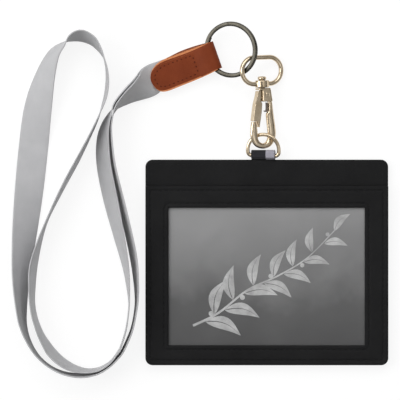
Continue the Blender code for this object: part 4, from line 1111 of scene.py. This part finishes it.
def ribbon_route():
    """The whole ribbon as x, y and lift of its lower edge in millimetres, roll and heading in radians."""
    flat_lift = LOWER_RIBBON - RIBBON_THICKNESS / 2
    tab_y = TAB_PLACE.y / MM
    shared = []
    for depth, roll in ((RIBBON_TAIL, 0.0), (RIBBON_TAIL / 2, 0.0), (5.5, 0.0), (1.8, -3.0)):
        place = tab_world(depth - TAB_LENGTH, RIBBON_SIDE, 0.0) / MM
        shared.append((place.x, place.y, roll, RIBBON_STEP))
    shared += [(CAD_EDGE + x, tab_y + y, roll, spread) for x, y, roll, spread in FIRST_RUN]
    spreads = [spread for _, _, _, spread in shared]
    lower = []
    for x, y, degrees, _ in shared:
        roll = math.radians(degrees)
        lift = max(TABLE_GAP, flat_lift - RIBBON_WIDTH / 2 * abs(math.sin(roll)))
        lower.append((x, y, lift, roll))
    loops = [(CAD_EDGE + x, tab_y + y, TABLE_GAP, math.radians(roll)) for x, y, roll in LOOP_RUN]
    back = [spot[:4] for spot in upper_ply(headed(lower), spreads)]
    spots = smooth_curve(lower + loops + back, CURVE_STEPS)
    spots = headed(spots[:CURVE_STEPS * (len(lower) + len(loops))])
    shared_count = CURVE_STEPS * (len(lower) - 1) + 1
    fine = [spread for spread, in smooth_curve([(s,) for s in spreads], CURVE_STEPS)]
    return spots + upper_ply(spots[:shared_count], fine)


def headed(spots):
    """The same spots with the direction of travel added to each."""
    result = []
    for index, spot in enumerate(spots):
        before, after = neighbours(spots, index)
        result.append((*spot, math.atan2(after[1] - before[1], after[0] - before[0])))
    return result


def upper_ply(lower, spreads):
    """The ribbon's other end, which lies on the lower one and runs back to the tab."""
    upper = []
    for (x, y, lift, roll, heading), spread in zip(lower, spreads):
        side = math.sin(roll) * spread
        upper.append((x + side * math.sin(heading), y - side * math.cos(heading),
                      lift + math.cos(roll) * spread, -2 * math.pi - roll, heading + math.pi))
    return upper[::-1]


def ribbon_piece(woven):
    """The ribbon as one sheet, with rows about as far apart as ROW_SPACING."""
    spots = ribbon_route()
    kept, used = [spots[0]], 0.0
    for before, spot in zip(spots, spots[1:]):
        used += math.dist(before[:2], spot[:2])
        if used >= ROW_SPACING:
            kept.append(spot)
            used = 0.0
    kept.append(spots[-1])
    half = RIBBON_WIDTH / 2
    columns = 12
    verts, uvs = [], []
    along = 0.0
    for index, (x, y, lift, roll, heading) in enumerate(kept):
        left = Vector((-math.sin(heading), math.cos(heading), 0))
        width = left * math.cos(roll) + Vector((0, 0, 1)) * math.sin(roll)
        rise = half * abs(math.sin(roll)) + RIBBON_THICKNESS / 2 * abs(math.cos(roll))
        middle = Vector((x, y, max(lift, TABLE_GAP) + rise))
        if index:
            along += math.dist(kept[index - 1][:2], (x, y))
        for column in range(columns + 1):
            across = half * (2 * column / columns - 1)
            verts.append((middle + width * across) * MM)
            uvs.append((across * MM, along * MM))
    return thick_sheet("ribbon", verts, columns, RIBBON_THICKNESS * MM, 0.16 * MM, (50, 50), woven, uvs)


def make_materials():
    """Every material of the object, by a short name."""
    leather_black = ((0.0065, 0.0065, 0.007), (0.0105, 0.0105, 0.011))
    return {
        "black": leather_material("black_leather_visual", *leather_black, 0.55, 0.05),
        "saddle": leather_material("saddle_leather_visual", (0.150, 0.027, 0.007),
                                   (0.210, 0.042, 0.012), 0.7, 0.03),
        "edge": plain_fibre("leather_edge_visual", (0.46, 0.16, 0.062), (0.62, 0.25, 0.11), 0.8),
        "pale_edge": plain_fibre("leather_pale_edge_visual", (0.70, 0.36, 0.20), (0.82, 0.48, 0.30), 0.8),
        "gold": metal_material("pale_gold_visual", (0.74, 0.62, 0.46), (0.60, 0.48, 0.33), 0.2),
        "bronze": metal_material("dark_bronze_visual", (0.085, 0.08, 0.065), (0.055, 0.051, 0.041),
                                 0.24, 0.003),
        # Spring metal in dark brown: its colour is painted shade, standing for the shadow in the recess
        # round the gate's pivot.
        "painted_shade_steel": metal_material("spring_steel_visual", (0.13, 0.10, 0.075), (0.085, 0.065, 0.05), 0.3),
        "ribbon": woven_material("grey_ribbon_visual", (0.395, 0.395, 0.405), (0.51, 0.51, 0.52),
                                 0.45, 0.5, 0.72, 0.2),
        "webbing": woven_material("black_webbing_visual", (0.010, 0.010, 0.013), (0.020, 0.020, 0.026),
                                  0.6, 0.7, 0.8, 0.1, stripe=(1.35, (0.33, 0.32, 0.37))),
        "thread": plain_fibre("black_thread", (0.006, 0.006, 0.006), (0.014, 0.014, 0.015), 0.6, 3000.0),
        "brown_thread": plain_fibre("brown_thread", (0.060, 0.011, 0.004), (0.100, 0.019, 0.007),
                                    0.8, 3000.0),
        "board": plain_fibre("grey_board_visual", (0.24, 0.23, 0.21), (0.36, 0.35, 0.33), 0.9, 600.0),
        "card": card_material(),
        "film": film_material(),
        "ink": plain_fibre("pale_ink", 0.36, 0.62, 0.6, 200.0),
    }


def place(piece, body, slot, *stands_for):
    """Put a piece on its body, in place of the CAD nodes that it stands for; slot is not used."""
    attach(piece, body)
    if stands_for:
        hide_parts(*stands_for)


def dress_holder(look):
    black = look["black"]
    place(pocket_front(black), "holder", "black_leather", "front_panel")
    place(flat_cover("lining", LINER_LOW, LINER_HIGH, black), "holder", "black_leather", "inner_panel")
    place(flat_cover("back_cover", 0.0, BACK_HIGH, black, 0.12 * MM), "holder", "black_leather",
          "back_panel")
    for piece in holder_stitches(look["thread"]):
        place(piece, "holder", "black_leather")
    place(card_sprig(look["ink"]), "card", "printed_card")
    place(webbing_loop(look["webbing"]), "holder", "black_webbing", "tab_webbing")


def dress_metal(look):
    gold = look["gold"]
    place(d_ring(gold), "ring_loop", "pale_gold", "d_ring")
    place(hook_casting(gold), "hook", "pale_gold", "hook_body")
    place(gate_casting(gold), "gate", "pale_gold", "gate_lever")
    place(swivel_eye(gold), "eye", "pale_gold", "swivel_eye")
    place(key_ring(look["bronze"]), "split_ring", "dark_bronze", "key_ring")


def dress_strap(look):
    edge = look["edge"]
    place(leather_tab(look["saddle"], edge), "strap", "saddle_leather", "leather_tab")
    place(leather_band("front_leaf_edge", FRONT_LEAF, FRONT_EDGE, front_height, 0.55, edge),
          "strap", "saddle_leather")
    place(leather_band("front_leaf_lower_edge", FRONT_LEAF, LOWER_EDGE, front_height, 0.02, edge, -1),
          "strap", "saddle_leather")
    place(leather_band("back_leaf_edge", BACK_LEAF, BACK_EDGE, lambda x: LEATHER_LOW, 0.1,
                       look["pale_edge"]), "strap", "saddle_leather")
    for piece in leather_stitches(look["brown_thread"]):
        place(piece, "strap", "saddle_leather")
    ribbon = ribbon_piece(look["ribbon"])
    place(ribbon, "strap", "grey_ribbon", "neck_strap")


def main():
    """Dress the CAD frame."""
    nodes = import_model()["nodes"]
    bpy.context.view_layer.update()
    make_camera()
    make_studio()
    make_floor()
    look = make_materials()
    # The gate spring takes the dark brown metal, whose colour is painted shade of the recess round the
    # gate's pivot.
    for name, key in (("stiffener_board", "board"), ("insert_card", "card"), ("window_film", "film"),
                      ("gate_rivet", "gold"), ("gate_spring", "painted_shade_steel")):
        nodes[name].data.materials.clear()
        nodes[name].data.materials.append(look[key])
    dress_holder(look)
    dress_metal(look)
    dress_strap(look)


main()
